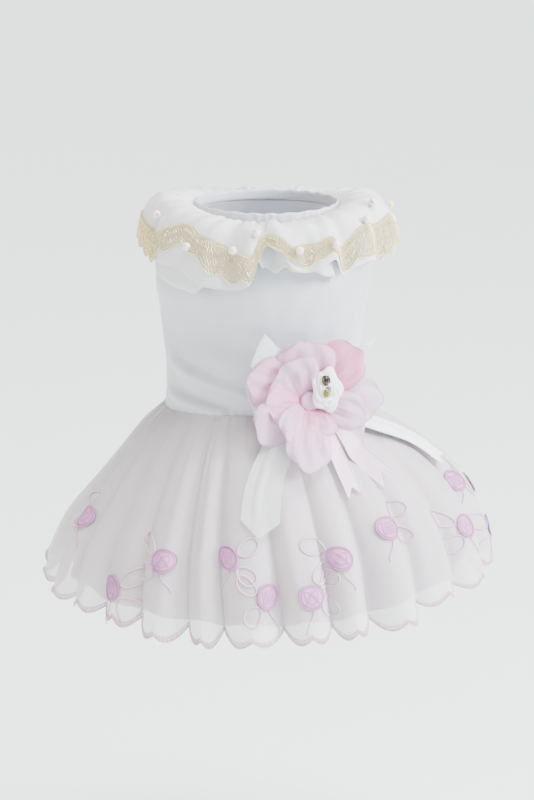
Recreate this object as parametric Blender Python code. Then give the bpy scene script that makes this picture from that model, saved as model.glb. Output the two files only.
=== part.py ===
"""A small dog's party dress: satin bodice, lace-edged ruffle collar, gathered organza skirt and bow.

Metres, +Z up. The origin is the centre of the neck opening and -Y is the decorated side.
Angles run from the decorated side (0) towards +X (90).
"""
import math

import bmesh
import bpy
import numpy as np
from mathutils import Vector

# Neck and collar
NECK_WIDTH = 0.084
NECK_DEPTH = 0.072
NECK_DIP = 0.003
BAND_HEIGHT = 0.006
BAND_WALL = 0.002
COLLAR_WIDTH = 0.156
COLLAR_DEPTH = 0.134
COLLAR_DROP = 0.030
COLLAR_RISE = 0.008
UNDERLAYER_SHORTER = 0.0035
LACE_WALL = 0.0006
LACE_OVERHANG = 0.25
PEARL_DIAMETER = 0.005

# Bodice
CHEST_WIDTH = 0.133
CHEST_DEPTH = 0.110
WAIST_WIDTH = 0.118
WAIST_DEPTH = 0.098
BODICE_LENGTH = 0.125
WAIST_DIP = 0.004
BODY_LEAN = 0.003
SATIN = 0.0012
DRAPE_HEIGHT = 0.0022
LEG_HOLE_WIDTH = 0.038
LEG_HOLE_HEIGHT = 0.042
LEG_HOLE_SPREAD = 0.072
LEG_HOLE_DROP = 0.054

# Skirt
SKIRT_LENGTH = 0.109
HEM_WIDTH = 0.287
HEM_DEPTH = 0.268
HEM_LIFT_LEFT = 0.008
HEM_LIFT_RIGHT = 0.017
FOLD_DEPTH = 0.012
GATHER_DEPTH = 0.0015
GATHER_PUFF = 0.0026
SCALLOP_DEPTH = 0.0045
ORGANZA = 0.001
LINING_TUCK = 0.005
LINING_LENGTH = 0.103
DOT_DIAMETER = 0.0148
DOT_WALL = 0.0006
DOT_LIFT = 0.0008

# Flower and bow
FLOWER_ANGLE = 26.0
FLOWER_TURN = 14.0
FLOWER_TILT = 10.0
FLOWER_DROP = 0.114
CORE_RADIUS = 0.0062
CORE_LENGTH = 0.0135
PETAL_HEIGHT = 0.0070
PETAL_LAYER = 0.0020
PETAL_LENGTH = 0.038
PETAL_WIDTH = 0.030
PETAL_WALL = 0.0008
LOOP_HEIGHT = 0.0038
LOOP_OPENING = 0.0026
LOOP_WALL = 0.0006
LOOP_WIDTH = 0.021
LOOP_LENGTH = 0.044
POINT_LENGTH = 0.056
POINT_TURN = 37.0
POINT_RISE = 7.0
TAIL_WALL = 0.0007
TAIL_LIFT = 0.0007
ROSETTE_WIDTH = 0.0185
ROSETTE_HEIGHT = 0.0260
ROSETTE_ASIDE = 0.0065
ROSETTE_ABOVE = 0.0030
ROSETTE_DEPTH = 0.0045
STONE_DARK = 0.0056
STONE_GREEN = 0.0040
STONE_DEPTH = 0.0018

GAP = 0.0003

BODICE_COLUMNS = 36
COLLAR_COLUMNS = 64
UNDERLAYER_COLUMNS = 32
LINING_COLUMNS = 44
FOLD_COLUMNS = 5

# Bodice sections, as shares: how far down the bodice, how far out from the neck size to the
# chest size, how far in from the chest size to the waist size, and how much of the lean
BODICE_ROWS = [
    # down, spread, pull_in, lean
    (0.00, 0.07, 0.00, 0.0),
    (0.05, 0.42, 0.00, 0.1),
    (0.13, 0.79, 0.00, 0.2),
    (0.22, 0.98, 0.00, 0.3),
    (0.31, 1.00, 0.08, 0.5),
    (0.40, 1.00, 0.28, 0.7),
    (0.49, 1.00, 0.46, 0.8),
    (0.58, 1.00, 0.64, 0.9),
    (0.67, 1.00, 0.82, 1.0),
    (0.77, 1.00, 0.97, 1.0),
    (0.88, 1.00, 0.99, 1.0),
    (1.00, 1.00, 0.86, 1.0),
]

# Soft drape folds of the satin: where each crest starts and ends, as an angle in degrees and a
# share down the bodice, its half-width as a share of the bodice and its height as a share
DRAPES = [
    # start_angle, start_down, end_angle, end_down, half_width, height
    (-66.0, 0.46, 52.0, 0.40, 0.055, 0.70),
    (-58.0, 0.60, 44.0, 0.55, 0.050, 0.55),
    (-70.0, 0.70, 4.0, 0.94, 0.050, 1.00),
    (-76.0, 0.86, -24.0, 0.97, 0.040, 0.65),
    (-20.0, 0.72, 30.0, 0.70, 0.050, 0.50),
    (105.0, 0.62, 230.0, 0.58, 0.060, 0.60),
    (100.0, 0.82, 250.0, 0.86, 0.050, 0.60),
]

# The ruffle's edge: angle in degrees, drop and reach as shares of the collar's drop and size
COLLAR_EDGE = [
    # angle, drop, reach
    (-180.0, 0.95, 0.98),
    (-165.0, 0.70, 1.03),
    (-150.0, 1.05, 0.97),
    (-135.0, 0.72, 1.04),
    (-118.0, 1.00, 0.98),
    (-104.0, 0.62, 1.03),
    (-90.0, 0.68, 1.00),
    (-73.0, 0.84, 0.98),
    (-56.0, 0.96, 1.01),
    (-43.0, 1.02, 0.99),
    (-29.0, 1.28, 1.01),
    (-18.0, 1.33, 0.97),
    (-8.0, 1.22, 1.01),
    (-3.0, 0.62, 0.92),
    (0.0, 0.46, 0.90),
    (6.0, 0.60, 0.96),
    (12.0, 0.92, 1.00),
    (18.0, 0.98, 0.98),
    (24.0, 0.90, 1.02),
    (30.0, 0.74, 1.03),
    (37.0, 1.12, 0.97),
    (43.0, 0.98, 1.00),
    (50.0, 0.88, 1.03),
    (60.0, 0.96, 0.99),
    (70.0, 0.84, 1.01),
    (82.0, 0.66, 1.03),
    (96.0, 0.80, 0.98),
    (110.0, 0.66, 1.04),
    (124.0, 1.02, 0.97),
    (138.0, 0.72, 1.03),
    (152.0, 1.02, 0.97),
    (166.0, 0.72, 1.03),
]

# Cross-section of the ruffle from the neck to its edge, as shares of reach, rise and drop
COLLAR_SECTION = [
    # out, reach, rise, drop
    (0.00, 0.00, 0.00, 0.00),
    (0.22, 0.26, 0.70, 0.03),
    (0.45, 0.58, 1.00, 0.14),
    (0.66, 0.83, 0.75, 0.40),
    (0.83, 0.95, 0.35, 0.70),
    (1.00, 1.00, 0.00, 1.00),
]

# From this share out along the ruffle a bead sits on the lace
LACE_FROM = 0.80

# Pearls along the lace: angle in degrees and share out along the ruffle
PEARLS = [
    # angle, out
    (-65.0, 0.62),
    (-38.0, 0.76),
    (-15.0, 0.70),
    (-5.0, 0.60),
    (14.0, 0.78),
    (30.0, 0.82),
    (52.0, 0.62),
    (70.0, 0.50),
    (105.0, 0.72),
    (148.0, 0.74),
    (-158.0, 0.74),
    (-112.0, 0.72),
]

# How far the skirt has spread from the waist to the hem on its left and right, as shares
SKIRT_ROWS = [
    # down, left, right
    (0.00, 0.00, 0.00),
    (0.10, 0.15, 0.21),
    (0.25, 0.31, 0.49),
    (0.46, 0.53, 0.74),
    (0.72, 0.81, 0.92),
    (1.00, 1.00, 1.00),
]

# Gathered folds: where each valley starts at the waist and ends at the hem, in degrees, and
# the height of the ridge after it and how much lower its hem hangs, as shares
FOLDS = [
    # waist_angle, hem_angle, height, hem_drop
    (-94.0, -91.0, 0.80, 0.0),
    (-80.0, -74.0, 0.90, 0.2),
    (-69.0, -60.0, 0.85, 0.0),
    (-57.0, -47.5, 0.75, 0.3),
    (-43.0, -34.5, 1.00, 0.9),
    (-27.0, -20.5, 0.85, 1.0),
    (-17.0, -11.0, 1.00, 0.6),
    (-2.0, 4.5, 1.00, 0.4),
    (13.0, 17.0, 0.80, 0.6),
    (25.0, 27.5, 1.00, 0.7),
    (40.0, 43.0, 0.75, -0.3),
    (56.0, 59.0, 0.95, 0.1),
    (74.0, 76.0, 0.90, -0.1),
    (91.0, 93.0, 0.85, 0.1),
    (108.0, 110.0, 1.00, 0.4),
    (126.0, 128.0, 0.80, 0.0),
    (144.0, 145.0, 1.00, 0.5),
    (162.0, 163.0, 0.85, 0.1),
    (180.0, 180.0, 1.00, 0.6),
    (198.0, 198.0, 0.80, 0.2),
    (215.0, 216.0, 1.00, 0.5),
    (233.0, 234.0, 0.85, 0.0),
    (250.0, 252.0, 0.95, 0.2),
]
FOLD_COUNT = len(FOLDS)
HEM_DROP = 0.005

# Lilac dots on the overlay: fold number, column within the fold and share down the skirt
DOTS = [
    # fold, column, down
    (1, 2, 0.60),
    (3, 2, 0.86),
    (4, 3, 0.66),
    (6, 1, 0.62),
    (6, 4, 0.80),
    (7, 3, 0.80),
    (8, 2, 0.63),
    (9, 3, 0.52),
    (11, 2, 0.66),
    (12, 1, 0.46),
    (12, 3, 0.82),
    (13, 3, 0.62),
    (14, 2, 0.84),
    (15, 3, 0.60),
    (16, 2, 0.82),
    (17, 3, 0.58),
    (18, 2, 0.84),
    (19, 3, 0.60),
    (20, 2, 0.82),
    (21, 3, 0.62),
]

# Cross-sections of the small turned pieces, as shares of their sizes
BAND_SECTION = [
    # out, level
    (1.0, -1.0),
    (1.0, -0.35),
    (0.55, 0.0),
    (0.0, -0.25),
    (0.0, -1.0),
]
CORE_SECTION = [
    # radius, height
    (0.80, 0.13),
    (1.0, 0.22),
    (1.0, 0.75),
    (0.80, 1.0),
]
ROSETTE_SECTION = [
    # radius, height
    (0.45, 0.0),
    (0.92, 0.22),
    (1.0, 0.50),
    (0.93, 0.78),
    (0.72, 1.0),
]
STONE_SECTION = [
    # radius, height
    (1.0, 0.0),
    (1.0, 0.25),
    (0.58, 1.0),
]
PETAL_SHAPE = [
    # along, width
    (0.00, 0.18),
    (0.25, 0.62),
    (0.50, 0.96),
    (0.75, 1.00),
    (1.00, 0.62),
]
# Side view of a ribbon loop, out along its face and back behind
LOOP_PATH = [
    # along, height
    (0.00, 0.7),
    (0.35, 1.0),
    (0.70, 1.0),
    (0.93, 0.75),
    (1.00, 0.0),
    (0.93, -0.75),
    (0.70, -1.0),
    (0.35, -1.0),
    (0.00, -0.7),
]

# Petals round the core: turn in degrees from +X towards +Z, length and width as shares, the
# layer they spring from, their blade tilt and their rise away from the cloth in degrees
PETALS = [
    # name, turn, length, width, layer, tilt, rise, colour
    ("petal_top", 94.0, 0.94, 1.02, 1, 0.0, 13.0, "pink"),
    ("petal_left", 154.0, 1.08, 0.88, 0.2, 0.0, 13.0, "pink"),
    ("petal_low_left", 207.0, 1.06, 0.84, 1, 10.0, 22.0, "pale_pink"),
    ("petal_bottom", 256.0, 1.06, 0.78, 2, 0.0, 39.0, "pale_pink"),
    ("petal_low_right", 312.0, 1.08, 0.88, 0.5, 8.0, 24.0, "pale_pink"),
    ("petal_right", 0.0, 1.18, 0.86, -0.5, -3.0, 8.0, "pale_pink"),
    ("petal_dark", 46.0, 1.14, 0.80, 0, 10.0, 9.0, "deep_pink"),
]

# White loops of the bow: turn in degrees, length and width as shares, rise in degrees
LOOPS = [
    # name, turn, length, width, rise
    ("white_loop_upper", 126.0, 1.10, 0.90, 13.0),
    ("white_loop_lower", 184.0, 1.04, 0.70, 0.0),
]

# Pink ribbon tails, which fall over the petals: place to the right and up from the core, height
# above the cloth and width, all as shares of the petals' length
PINK_LEFT = [
    # right, up, height, width
    (0.079, -0.182, 0.312, 0.120),
    (0.145, -0.311, 0.372, 0.145),
    (0.204, -0.468, 0.478, 0.175),
    (0.254, -0.626, 0.545, 0.195),
    (0.300, -0.784, 0.604, 0.212),
    (0.358, -1.000, 0.735, 0.222),
    (0.421, -1.237, 0.893, 0.226),
    (0.479, -1.460, 1.040, 0.230),
]
PINK_RIGHT = [
    (0.262, -0.147, 0.334, 0.125),
    (0.318, -0.260, 0.380, 0.165),
    (0.412, -0.390, 0.475, 0.205),
    (0.494, -0.522, 0.540, 0.240),
    (0.568, -0.652, 0.582, 0.262),
    (0.640, -0.795, 0.615, 0.285),
    (0.765, -0.934, 0.662, 0.295),
    (0.921, -1.092, 0.715, 0.300),
    (1.118, -1.255, 0.770, 0.305),
]

# White ribbon tails, which lie on the skirt: angle, share down the skirt, and width as a share
# of the petals' length
WHITE_LEFT = [
    # angle, down, width
    (17.0, -0.020, 0.21),
    (10.5, 0.060, 0.34),
    (5.0, 0.150, 0.45),
    (1.0, 0.250, 0.51),
    (-1.0, 0.360, 0.565),
    (-1.5, 0.450, 0.59),
]
WHITE_RIGHT = [
    (50.0, -0.020, 0.26),
    (59.0, 0.030, 0.395),
    (67.0, 0.090, 0.435),
    (74.0, 0.160, 0.42),
    (80.0, 0.240, 0.395),
    (85.0, 0.320, 0.37),
]
FALLING_TAILS = [
    # name, stations, notch as a share of the width, colour
    ("pink_tail_left", PINK_LEFT, 0.75, "pale_pink"),
    ("pink_tail_right", PINK_RIGHT, 0.60, "pale_pink"),
]
LAID_TAILS = [
    ("white_tail_left", WHITE_LEFT, -0.45, "organza"),
    ("white_tail_right", WHITE_RIGHT, 0.25, "satin"),
]

COLOURS = {
    # name: (red, green, blue, roughness, metallic)
    "satin": (0.72, 0.75, 0.80, 0.35, 0.0),
    "organza": (0.78, 0.77, 0.79, 0.55, 0.0),
    "lining": (0.76, 0.75, 0.77, 0.40, 0.0),
    "lace": (0.66, 0.58, 0.40, 0.40, 0.4),
    "pearl": (0.86, 0.82, 0.72, 0.20, 0.0),
    "lilac": (0.52, 0.33, 0.50, 0.55, 0.0),
    "pink": (0.80, 0.55, 0.68, 0.60, 0.0),
    "pale_pink": (0.82, 0.66, 0.76, 0.55, 0.0),
    "deep_pink": (0.75, 0.38, 0.55, 0.60, 0.0),
    "dark_stone": (0.03, 0.03, 0.03, 0.08, 0.0),
    "green_stone": (0.10, 0.12, 0.03, 0.08, 0.0),
}


def clear_scene():
    """Remove every object, so that the script can be run again."""
    for thing in list(bpy.data.objects):
        bpy.data.objects.remove(thing, do_unlink=True)


def add_object(name, vertices, faces, colour):
    """Make one mesh object with its own material."""
    mesh = bpy.data.meshes.new(name)
    mesh.from_pydata([tuple(v) for v in vertices], [], [tuple(f) for f in faces])
    mesh.validate()
    mesh.shade_smooth()
    mesh.set_sharp_from_angle(angle=math.radians(40.0))
    thing = bpy.data.objects.new(name, mesh)
    bpy.context.collection.objects.link(thing)
    red, green, blue, roughness, metallic = COLOURS[colour]
    material = bpy.data.materials.new(name)
    material.use_nodes = True
    shader = material.node_tree.nodes["Principled BSDF"]
    shader.inputs["Base Color"].default_value = (red, green, blue, 1.0)
    shader.inputs["Roughness"].default_value = roughness
    shader.inputs["Metallic"].default_value = metallic
    mesh.materials.append(material)
    return thing


def unit(vectors):
    """Scale vectors to length one."""
    length = np.linalg.norm(vectors, axis=-1, keepdims=True)
    return vectors / np.maximum(length, 1e-12)


def grid_normals(points, wraps):
    """Outward normals of a grid whose rows run down and whose columns run to the right."""
    down = np.gradient(points, axis=0)
    if wraps:
        across = np.roll(points, -1, axis=1) - np.roll(points, 1, axis=1)
    else:
        across = np.gradient(points, axis=1)
    return unit(np.cross(down, across))


def wall(name, outer, inner, wraps, colour):
    """Close an outer and an inner grid of points into one thin solid."""
    rows, columns = outer.shape[:2]
    span = columns if wraps else columns - 1
    number = np.arange(rows * columns).reshape(rows, columns)
    offset = rows * columns
    faces = []
    for row in range(rows - 1):
        for column in range(span):
            right = (column + 1) % columns
            quad = (number[row, column], number[row + 1, column], number[row + 1, right], number[row, right])
            faces.append(quad)
            faces.append(tuple(value + offset for value in reversed(quad)))
    for column in range(span):
        right = (column + 1) % columns
        top, top_right = number[0, column], number[0, right]
        low, low_right = number[-1, column], number[-1, right]
        faces.append((top, top_right, top_right + offset, top + offset))
        faces.append((low, low + offset, low_right + offset, low_right))
    if not wraps:
        for row in range(rows - 1):
            left, left_low = number[row, 0], number[row + 1, 0]
            right, right_low = number[row, -1], number[row + 1, -1]
            faces.append((left, left + offset, left_low + offset, left_low))
            faces.append((right, right_low, right_low + offset, right + offset))
    vertices = np.concatenate([outer.reshape(-1, 3), inner.reshape(-1, 3)])
    return add_object(name, vertices, faces, colour)


def add_stack(name, rows, colour):
    """Solid from rings of points stacked outward, closed at both ends."""
    points = np.array(rows)
    count, sides = points.shape[:2]
    number = np.arange(count * sides).reshape(count, sides)
    faces = [tuple(reversed(number[0])), tuple(number[-1])]
    for row in range(count - 1):
        for column in range(sides):
            right = (column + 1) % sides
            faces.append((number[row, column], number[row, right], number[row + 1, right], number[row + 1, column]))
    return add_object(name, points.reshape(-1, 3), faces, colour)


def ring(count):
    """Angles in degrees once round, starting at the decorated side."""
    return np.arange(count) * 360.0 / count


def column_of(table, index):
    """One named column of a table as an array."""
    return np.array([row[index] for row in table], dtype=float)


def around(table, index, angle):
    """Read a column of a table keyed by angle, joined up at the back."""
    return np.interp(angle, column_of(table, 0), column_of(table, index), period=360.0)


def oval(angle, width, depth):
    """Points of an ellipse, as x and y."""
    turn = np.radians(angle)
    return 0.5 * width * np.sin(turn), -0.5 * depth * np.cos(turn)


def neck_level(angle):
    """Height of the neck edge: it dips at the decorated side."""
    return -NECK_DIP * (0.5 + 0.5 * np.cos(np.radians(angle))) ** 2


def waist_level(angle):
    """Height of the waist seam: it hangs lower at the sides."""
    return -BODICE_LENGTH - WAIST_DIP * np.sin(np.radians(angle)) ** 2


def drape(angle, down):
    """Height of the satin's soft folds: a bell across each crest, faded at its ends."""
    height = np.zeros(np.broadcast(angle, down).shape)
    for start_angle, start_down, end_angle, end_down, half_width, share in DRAPES:
        span = end_angle - start_angle
        along = (((angle - start_angle + 180.0) % 360.0) - 180.0) / span
        along = np.where(along < -0.5, along + 360.0 / span, along)
        crest = start_down + (end_down - start_down) * along
        fade = np.clip(np.sin(np.pi * np.clip(along, 0.0, 1.0)), 0.0, 1.0) ** 0.6
        height = height + DRAPE_HEIGHT * share * fade * np.exp(-((down - crest) / half_width) ** 2)
    return height


def bodice_size(down):
    """Width and depth of the bodice at a share down its length, and its sideways lean."""
    keys = column_of(BODICE_ROWS, 0)
    spread = np.interp(down, keys, column_of(BODICE_ROWS, 1))
    pull = np.interp(down, keys, column_of(BODICE_ROWS, 2))
    lean = np.interp(down, keys, column_of(BODICE_ROWS, 3))
    start_width = NECK_WIDTH + 2.0 * BAND_WALL
    start_depth = NECK_DEPTH + 2.0 * BAND_WALL
    width = start_width + (CHEST_WIDTH - start_width) * spread + (WAIST_WIDTH - CHEST_WIDTH) * pull
    depth = start_depth + (CHEST_DEPTH - start_depth) * spread + (WAIST_DEPTH - CHEST_DEPTH) * pull
    return width, depth, -BODY_LEAN * lean


def bodice_point(angle, down, lift=0.0):
    """Outer surface of the bodice, or a surface at a set distance outside it."""
    width, depth, lean = bodice_size(down)
    swell = 2.0 * (drape(angle, down) + lift)
    x, y = oval(angle, width + swell, depth + swell)
    top = neck_level(angle) - BAND_HEIGHT - GAP
    z = top + (waist_level(angle) - top) * down
    return np.stack(np.broadcast_arrays(x + lean, y, z), axis=-1)


def collar_point(angle, out, start_drop, shorter, lift_share=1.0):
    """Outer surface of a ruffle layer, from the neck band (0) to its edge (1)."""
    keys = column_of(COLLAR_SECTION, 0)
    reach = np.interp(out, keys, column_of(COLLAR_SECTION, 1))
    rise = np.interp(out, keys, column_of(COLLAR_SECTION, 2))
    drop = np.interp(out, keys, column_of(COLLAR_SECTION, 3))
    edge_drop = COLLAR_DROP * around(COLLAR_EDGE, 1, angle)
    edge_reach = around(COLLAR_EDGE, 2, angle)
    root_width = NECK_WIDTH + 2.0 * BAND_WALL + 2.0 * GAP
    root_depth = NECK_DEPTH + 2.0 * BAND_WALL + 2.0 * GAP
    width = root_width + (COLLAR_WIDTH * edge_reach - 2.0 * shorter - root_width) * reach
    depth = root_depth + (COLLAR_DEPTH * edge_reach - 2.0 * shorter - root_depth) * reach
    x, y = oval(angle, width, depth)
    side = np.sin(np.radians(angle)) ** 2
    billow = COLLAR_RISE * (0.25 + 0.75 * side) * lift_share
    z = neck_level(angle) - start_drop + billow * rise - edge_drop * drop
    return np.stack(np.broadcast_arrays(x, y, z), axis=-1)


def skirt_spread(angle, down):
    """Share of the way from the waist size to the hem size."""
    keys = column_of(SKIRT_ROWS, 0)
    right = 0.5 + 0.5 * np.sin(np.radians(angle))
    left_share = np.interp(down, keys, column_of(SKIRT_ROWS, 1))
    right_share = np.interp(down, keys, column_of(SKIRT_ROWS, 2))
    return left_share + (right_share - left_share) * right


def skirt_point(angle, down, inward=0.0):
    """The skirt's envelope, or a surface at a set horizontal distance inside it."""
    width, depth, lean = bodice_size(1.0)
    width = width + 2.0 * GATHER_PUFF
    depth = depth + 2.0 * GATHER_PUFF
    spread = skirt_spread(angle, down)
    x, y = oval(angle, width + (HEM_WIDTH - width) * spread - 2.0 * inward,
                depth + (HEM_DEPTH - depth) * spread - 2.0 * inward)
    side = np.sin(np.radians(angle))
    length = SKIRT_LENGTH - np.where(side > 0.0, HEM_LIFT_RIGHT, HEM_LIFT_LEFT) * side ** 2
    z = waist_level(angle) - GAP - length * down
    return np.stack(np.broadcast_arrays(x + lean * (1.0 - spread), y, z), axis=-1)


def fold_angle(place, down):
    """Angle of a place counted in folds: the folds fan out from the waist to the hem."""
    order = np.arange(FOLD_COUNT + 1)
    waist = np.append(column_of(FOLDS, 0), FOLDS[0][0] + 360.0)
    hem = np.append(column_of(FOLDS, 1), FOLDS[0][1] + 360.0)
    start = np.interp(place, order, waist)
    end = np.interp(place, order, hem)
    return start + (end - start) * np.clip(down, 0.0, 1.0)


def fold_depth(down):
    """Depth of the folds: a small gather at the waist that grows towards the hem."""
    return GATHER_DEPTH + (FOLD_DEPTH - GATHER_DEPTH) * np.clip(down, 0.0, 1.0) ** 0.85


def overlay_point(place, down):
    """Outer surface of the gathered overlay: rounded ridges between sharp valleys."""
    number = np.clip(np.floor(place), 0, FOLD_COUNT - 1).astype(int)
    across = place - number
    arch = 1.0 - np.abs(2.0 * across - 1.0) ** 2.2
    height = column_of(FOLDS, 2)[number] * arch
    hang = HEM_DROP * column_of(FOLDS, 3)[number] * arch * down ** 3
    points = skirt_point(fold_angle(place, down), down, fold_depth(down) * (1.0 - height))
    scallop = SCALLOP_DEPTH * np.abs(np.sin(2.0 * np.pi * across))
    points[..., 2] -= hang + scallop * np.clip(down - 0.9, 0.0, 0.1) / 0.1
    return points


def make_bodice():
    """Satin tube with two leg holes cut through its hidden side."""
    down, angle = np.meshgrid(column_of(BODICE_ROWS, 0), ring(BODICE_COLUMNS), indexing="ij")
    outer = bodice_point(angle, down)
    inner = outer - SATIN * grid_normals(outer, True)
    inner[0, :, 2] = outer[0, :, 2]
    inner[-1, :, 2] = outer[-1, :, 2]
    bodice = wall("bodice", outer, inner, True, "satin")
    for side, label in ((-1.0, "left"), (1.0, "right")):
        cutter = leg_hole_cutter("leg_hole_cutter_" + label, 0.5 * side * LEG_HOLE_SPREAD)
        cut = bodice.modifiers.new("leg_hole_" + label, "BOOLEAN")
        cut.operation = "DIFFERENCE"
        cut.solver = "EXACT"
        cut.object = cutter


def leg_hole_cutter(name, x):
    """Oval prism that runs out through the hidden side."""
    turn = np.radians(np.arange(14) * 360.0 / 14)
    points = []
    for y in (0.15 * CHEST_DEPTH, 0.75 * CHEST_DEPTH):
        for value in turn:
            across = x + 0.5 * LEG_HOLE_WIDTH * math.cos(value)
            points.append((across, y, -LEG_HOLE_DROP + 0.5 * LEG_HOLE_HEIGHT * math.sin(value)))
    count = len(turn)
    faces = [tuple(range(count)), tuple(reversed(range(count, 2 * count)))]
    for index in range(count):
        after = (index + 1) % count
        faces.append((index, index + count, after + count, after))
    cutter = add_object(name, points, faces, "satin")
    mesh = bmesh.new()
    mesh.from_mesh(cutter.data)
    bmesh.ops.recalc_face_normals(mesh, faces=mesh.faces)
    mesh.to_mesh(cutter.data)
    mesh.free()
    cutter.hide_render = True
    cutter.display_type = "WIRE"
    return cutter


def make_neck_band():
    """Puckered satin band that rings the neck opening."""
    angle = ring(BODICE_COLUMNS)
    pucker = np.where(np.arange(BODICE_COLUMNS) % 2 == 0, 0.0, 0.25 * BAND_WALL)
    rows = []
    for out, level in BAND_SECTION:
        swell = 2.0 * (BAND_WALL - pucker) * out
        x, y = oval(angle, NECK_WIDTH + swell, NECK_DEPTH + swell)
        rows.append(np.stack([x, y, neck_level(angle) + BAND_HEIGHT * level], axis=-1))
    points = np.array(rows)
    count = len(BAND_SECTION)
    number = np.arange(count * BODICE_COLUMNS).reshape(count, BODICE_COLUMNS)
    faces = []
    for row in range(count):
        below = (row + 1) % count
        for column in range(BODICE_COLUMNS):
            right = (column + 1) % BODICE_COLUMNS
            faces.append((number[row, column], number[row, right], number[below, right], number[below, column]))
    add_object("neck_band", points.reshape(-1, 3), faces, "satin")


def collar_grid(count, start_drop, shorter, lift_share=1.0):
    """A ruffle layer's outer grid."""
    out, angle = np.meshgrid(column_of(COLLAR_SECTION, 0), ring(count), indexing="ij")
    return collar_point(angle, out, start_drop, shorter, lift_share)


def make_collar():
    """Ruffle, shorter layer below it, lace along the edge and the pearls."""
    start = 0.25 * BAND_HEIGHT
    outer = collar_grid(COLLAR_COLUMNS, start, 0.0)
    inner = outer - ORGANZA * grid_normals(outer, True)
    wall("collar_ruffle", outer, inner, True, "organza")

    below = start + ORGANZA + 3.0 * GAP
    under = collar_grid(UNDERLAYER_COLUMNS, below, UNDERLAYER_SHORTER, 0.55)
    under_inner = under - ORGANZA * grid_normals(under, True)
    wall("collar_underlayer", under[:5], under_inner[:5], True, "organza")

    normals = grid_normals(outer, True)
    last = outer[-1] + (outer[-1] - outer[-2]) * LACE_OVERHANG
    lace_inner = np.stack([outer[-2], outer[-1], last]) + GAP * normals[[-2, -1, -1]]
    lace_outer = lace_inner + LACE_WALL * normals[[-2, -1, -1]]
    wall("collar_lace", lace_outer, lace_inner, True, "lace")

    keys = column_of(COLLAR_SECTION, 0)
    radius = 0.5 * PEARL_DIAMETER
    for index, (angle, out) in enumerate(PEARLS):
        row = np.interp(out, keys, np.arange(len(keys)))
        column = (angle % 360.0) / 360.0 * COLLAR_COLUMNS
        spot = on_grid(outer, row, column)
        normal = unit(on_grid(normals, row, column))
        over_lace = GAP + LACE_WALL if out > LACE_FROM else 0.0
        centre = spot + normal * (radius + GAP + over_lace)
        add_bead("pearl_%02d" % (index + 1), centre, radius)


def on_grid(points, row, column):
    """Place on a grid between its points, joined up round the columns."""
    count = points.shape[1]
    top = min(int(row), points.shape[0] - 2)
    left = int(column) % count
    right = (left + 1) % count
    down = row - top
    across = column - int(column)
    upper = points[top, left] * (1.0 - across) + points[top, right] * across
    lower = points[top + 1, left] * (1.0 - across) + points[top + 1, right] * across
    return upper * (1.0 - down) + lower * down


def add_bead(name, centre, radius):
    """Round bead of ten sides."""
    mesh = bmesh.new()
    bmesh.ops.create_uvsphere(mesh, u_segments=10, v_segments=5, radius=radius)
    bmesh.ops.translate(mesh, verts=mesh.verts, vec=Vector(centre))
    vertices = [vertex.co[:] for vertex in mesh.verts]
    faces = [[vertex.index for vertex in face.verts] for face in mesh.faces]
    mesh.free()
    add_object(name, vertices, faces, "pearl")


def make_skirt():
    """Lining, gathered overlay and the lilac dots on it."""
    rows = column_of(SKIRT_ROWS, 0)
    share = LINING_LENGTH / SKIRT_LENGTH
    downs = np.append(rows[:-1], share)
    down, angle = np.meshgrid(downs, ring(LINING_COLUMNS), indexing="ij")
    inside = SATIN + 3.0 * GAP
    outer = skirt_point(angle, down, fold_depth(down) + GATHER_PUFF - GATHER_DEPTH + inside)
    level = 1.0 - LINING_TUCK / BODICE_LENGTH
    tuck = bodice_point(angle[0], np.full(LINING_COLUMNS, level), -inside)
    outer = np.concatenate([tuck[None], outer])
    inner = outer - ORGANZA * grid_normals(outer, True)
    wall("skirt_lining", outer, inner, True, "lining")

    places = np.arange(FOLD_COUNT * FOLD_COLUMNS) / FOLD_COLUMNS
    down, place = np.meshgrid(rows, places, indexing="ij")
    outer = overlay_point(place, down)
    inner = outer - ORGANZA * grid_normals(outer, True)
    inner[0, :, 2] = outer[0, :, 2]
    wall("skirt_overlay", outer, inner, True, "organza")
    normals = grid_normals(outer, True)
    for index, (fold, column, level) in enumerate(DOTS):
        make_dot("dot_%02d" % (index + 1), outer, normals, fold * FOLD_COLUMNS + column, level)


def make_dot(name, outer, normals, column, level):
    """Thin round patch that lies on the overlay, creased where the overlay is."""
    rows = column_of(SKIRT_ROWS, 0)
    order = np.arange(len(rows))
    radius = 0.5 * DOT_DIAMETER
    row = np.interp(level, rows, order)
    centre = on_grid(outer, row, column)
    sides = [np.linalg.norm(on_grid(outer, row, column + step) - centre) for step in (-1.0, 1.0)]
    step_down = 0.02
    tall = np.linalg.norm(on_grid(outer, np.interp(level + step_down, rows, order), column) - centre)
    ring_points = []
    ring_normals = []
    for turn in np.radians(np.arange(8) * 45.0):
        across, along = math.cos(turn), math.sin(turn)
        side = sides[1] if across > 0.0 else sides[0]
        place = column + radius * across / side
        low = np.interp(level + radius * along * step_down / tall, rows, order)
        ring_points.append(on_grid(outer, low, place))
        ring_normals.append(unit(on_grid(normals, low, place)))
    points = np.array([centre] + ring_points)
    up = np.array([unit(on_grid(normals, row, column))] + ring_normals)
    base = points + up * DOT_LIFT
    top = points + up * (DOT_LIFT + DOT_WALL)
    faces = []
    for index in range(8):
        here, after = 1 + index, 1 + (index + 1) % 8
        faces.append((0, after, here))
        faces.append((9, here + 9, after + 9))
        faces.append((here, after, after + 9, here + 9))
    thing = add_object(name, np.concatenate([base, top]), faces, "lilac")
    mesh = bmesh.new()
    mesh.from_mesh(thing.data)
    bmesh.ops.recalc_face_normals(mesh, faces=mesh.faces)
    mesh.to_mesh(thing.data)
    mesh.free()


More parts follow.
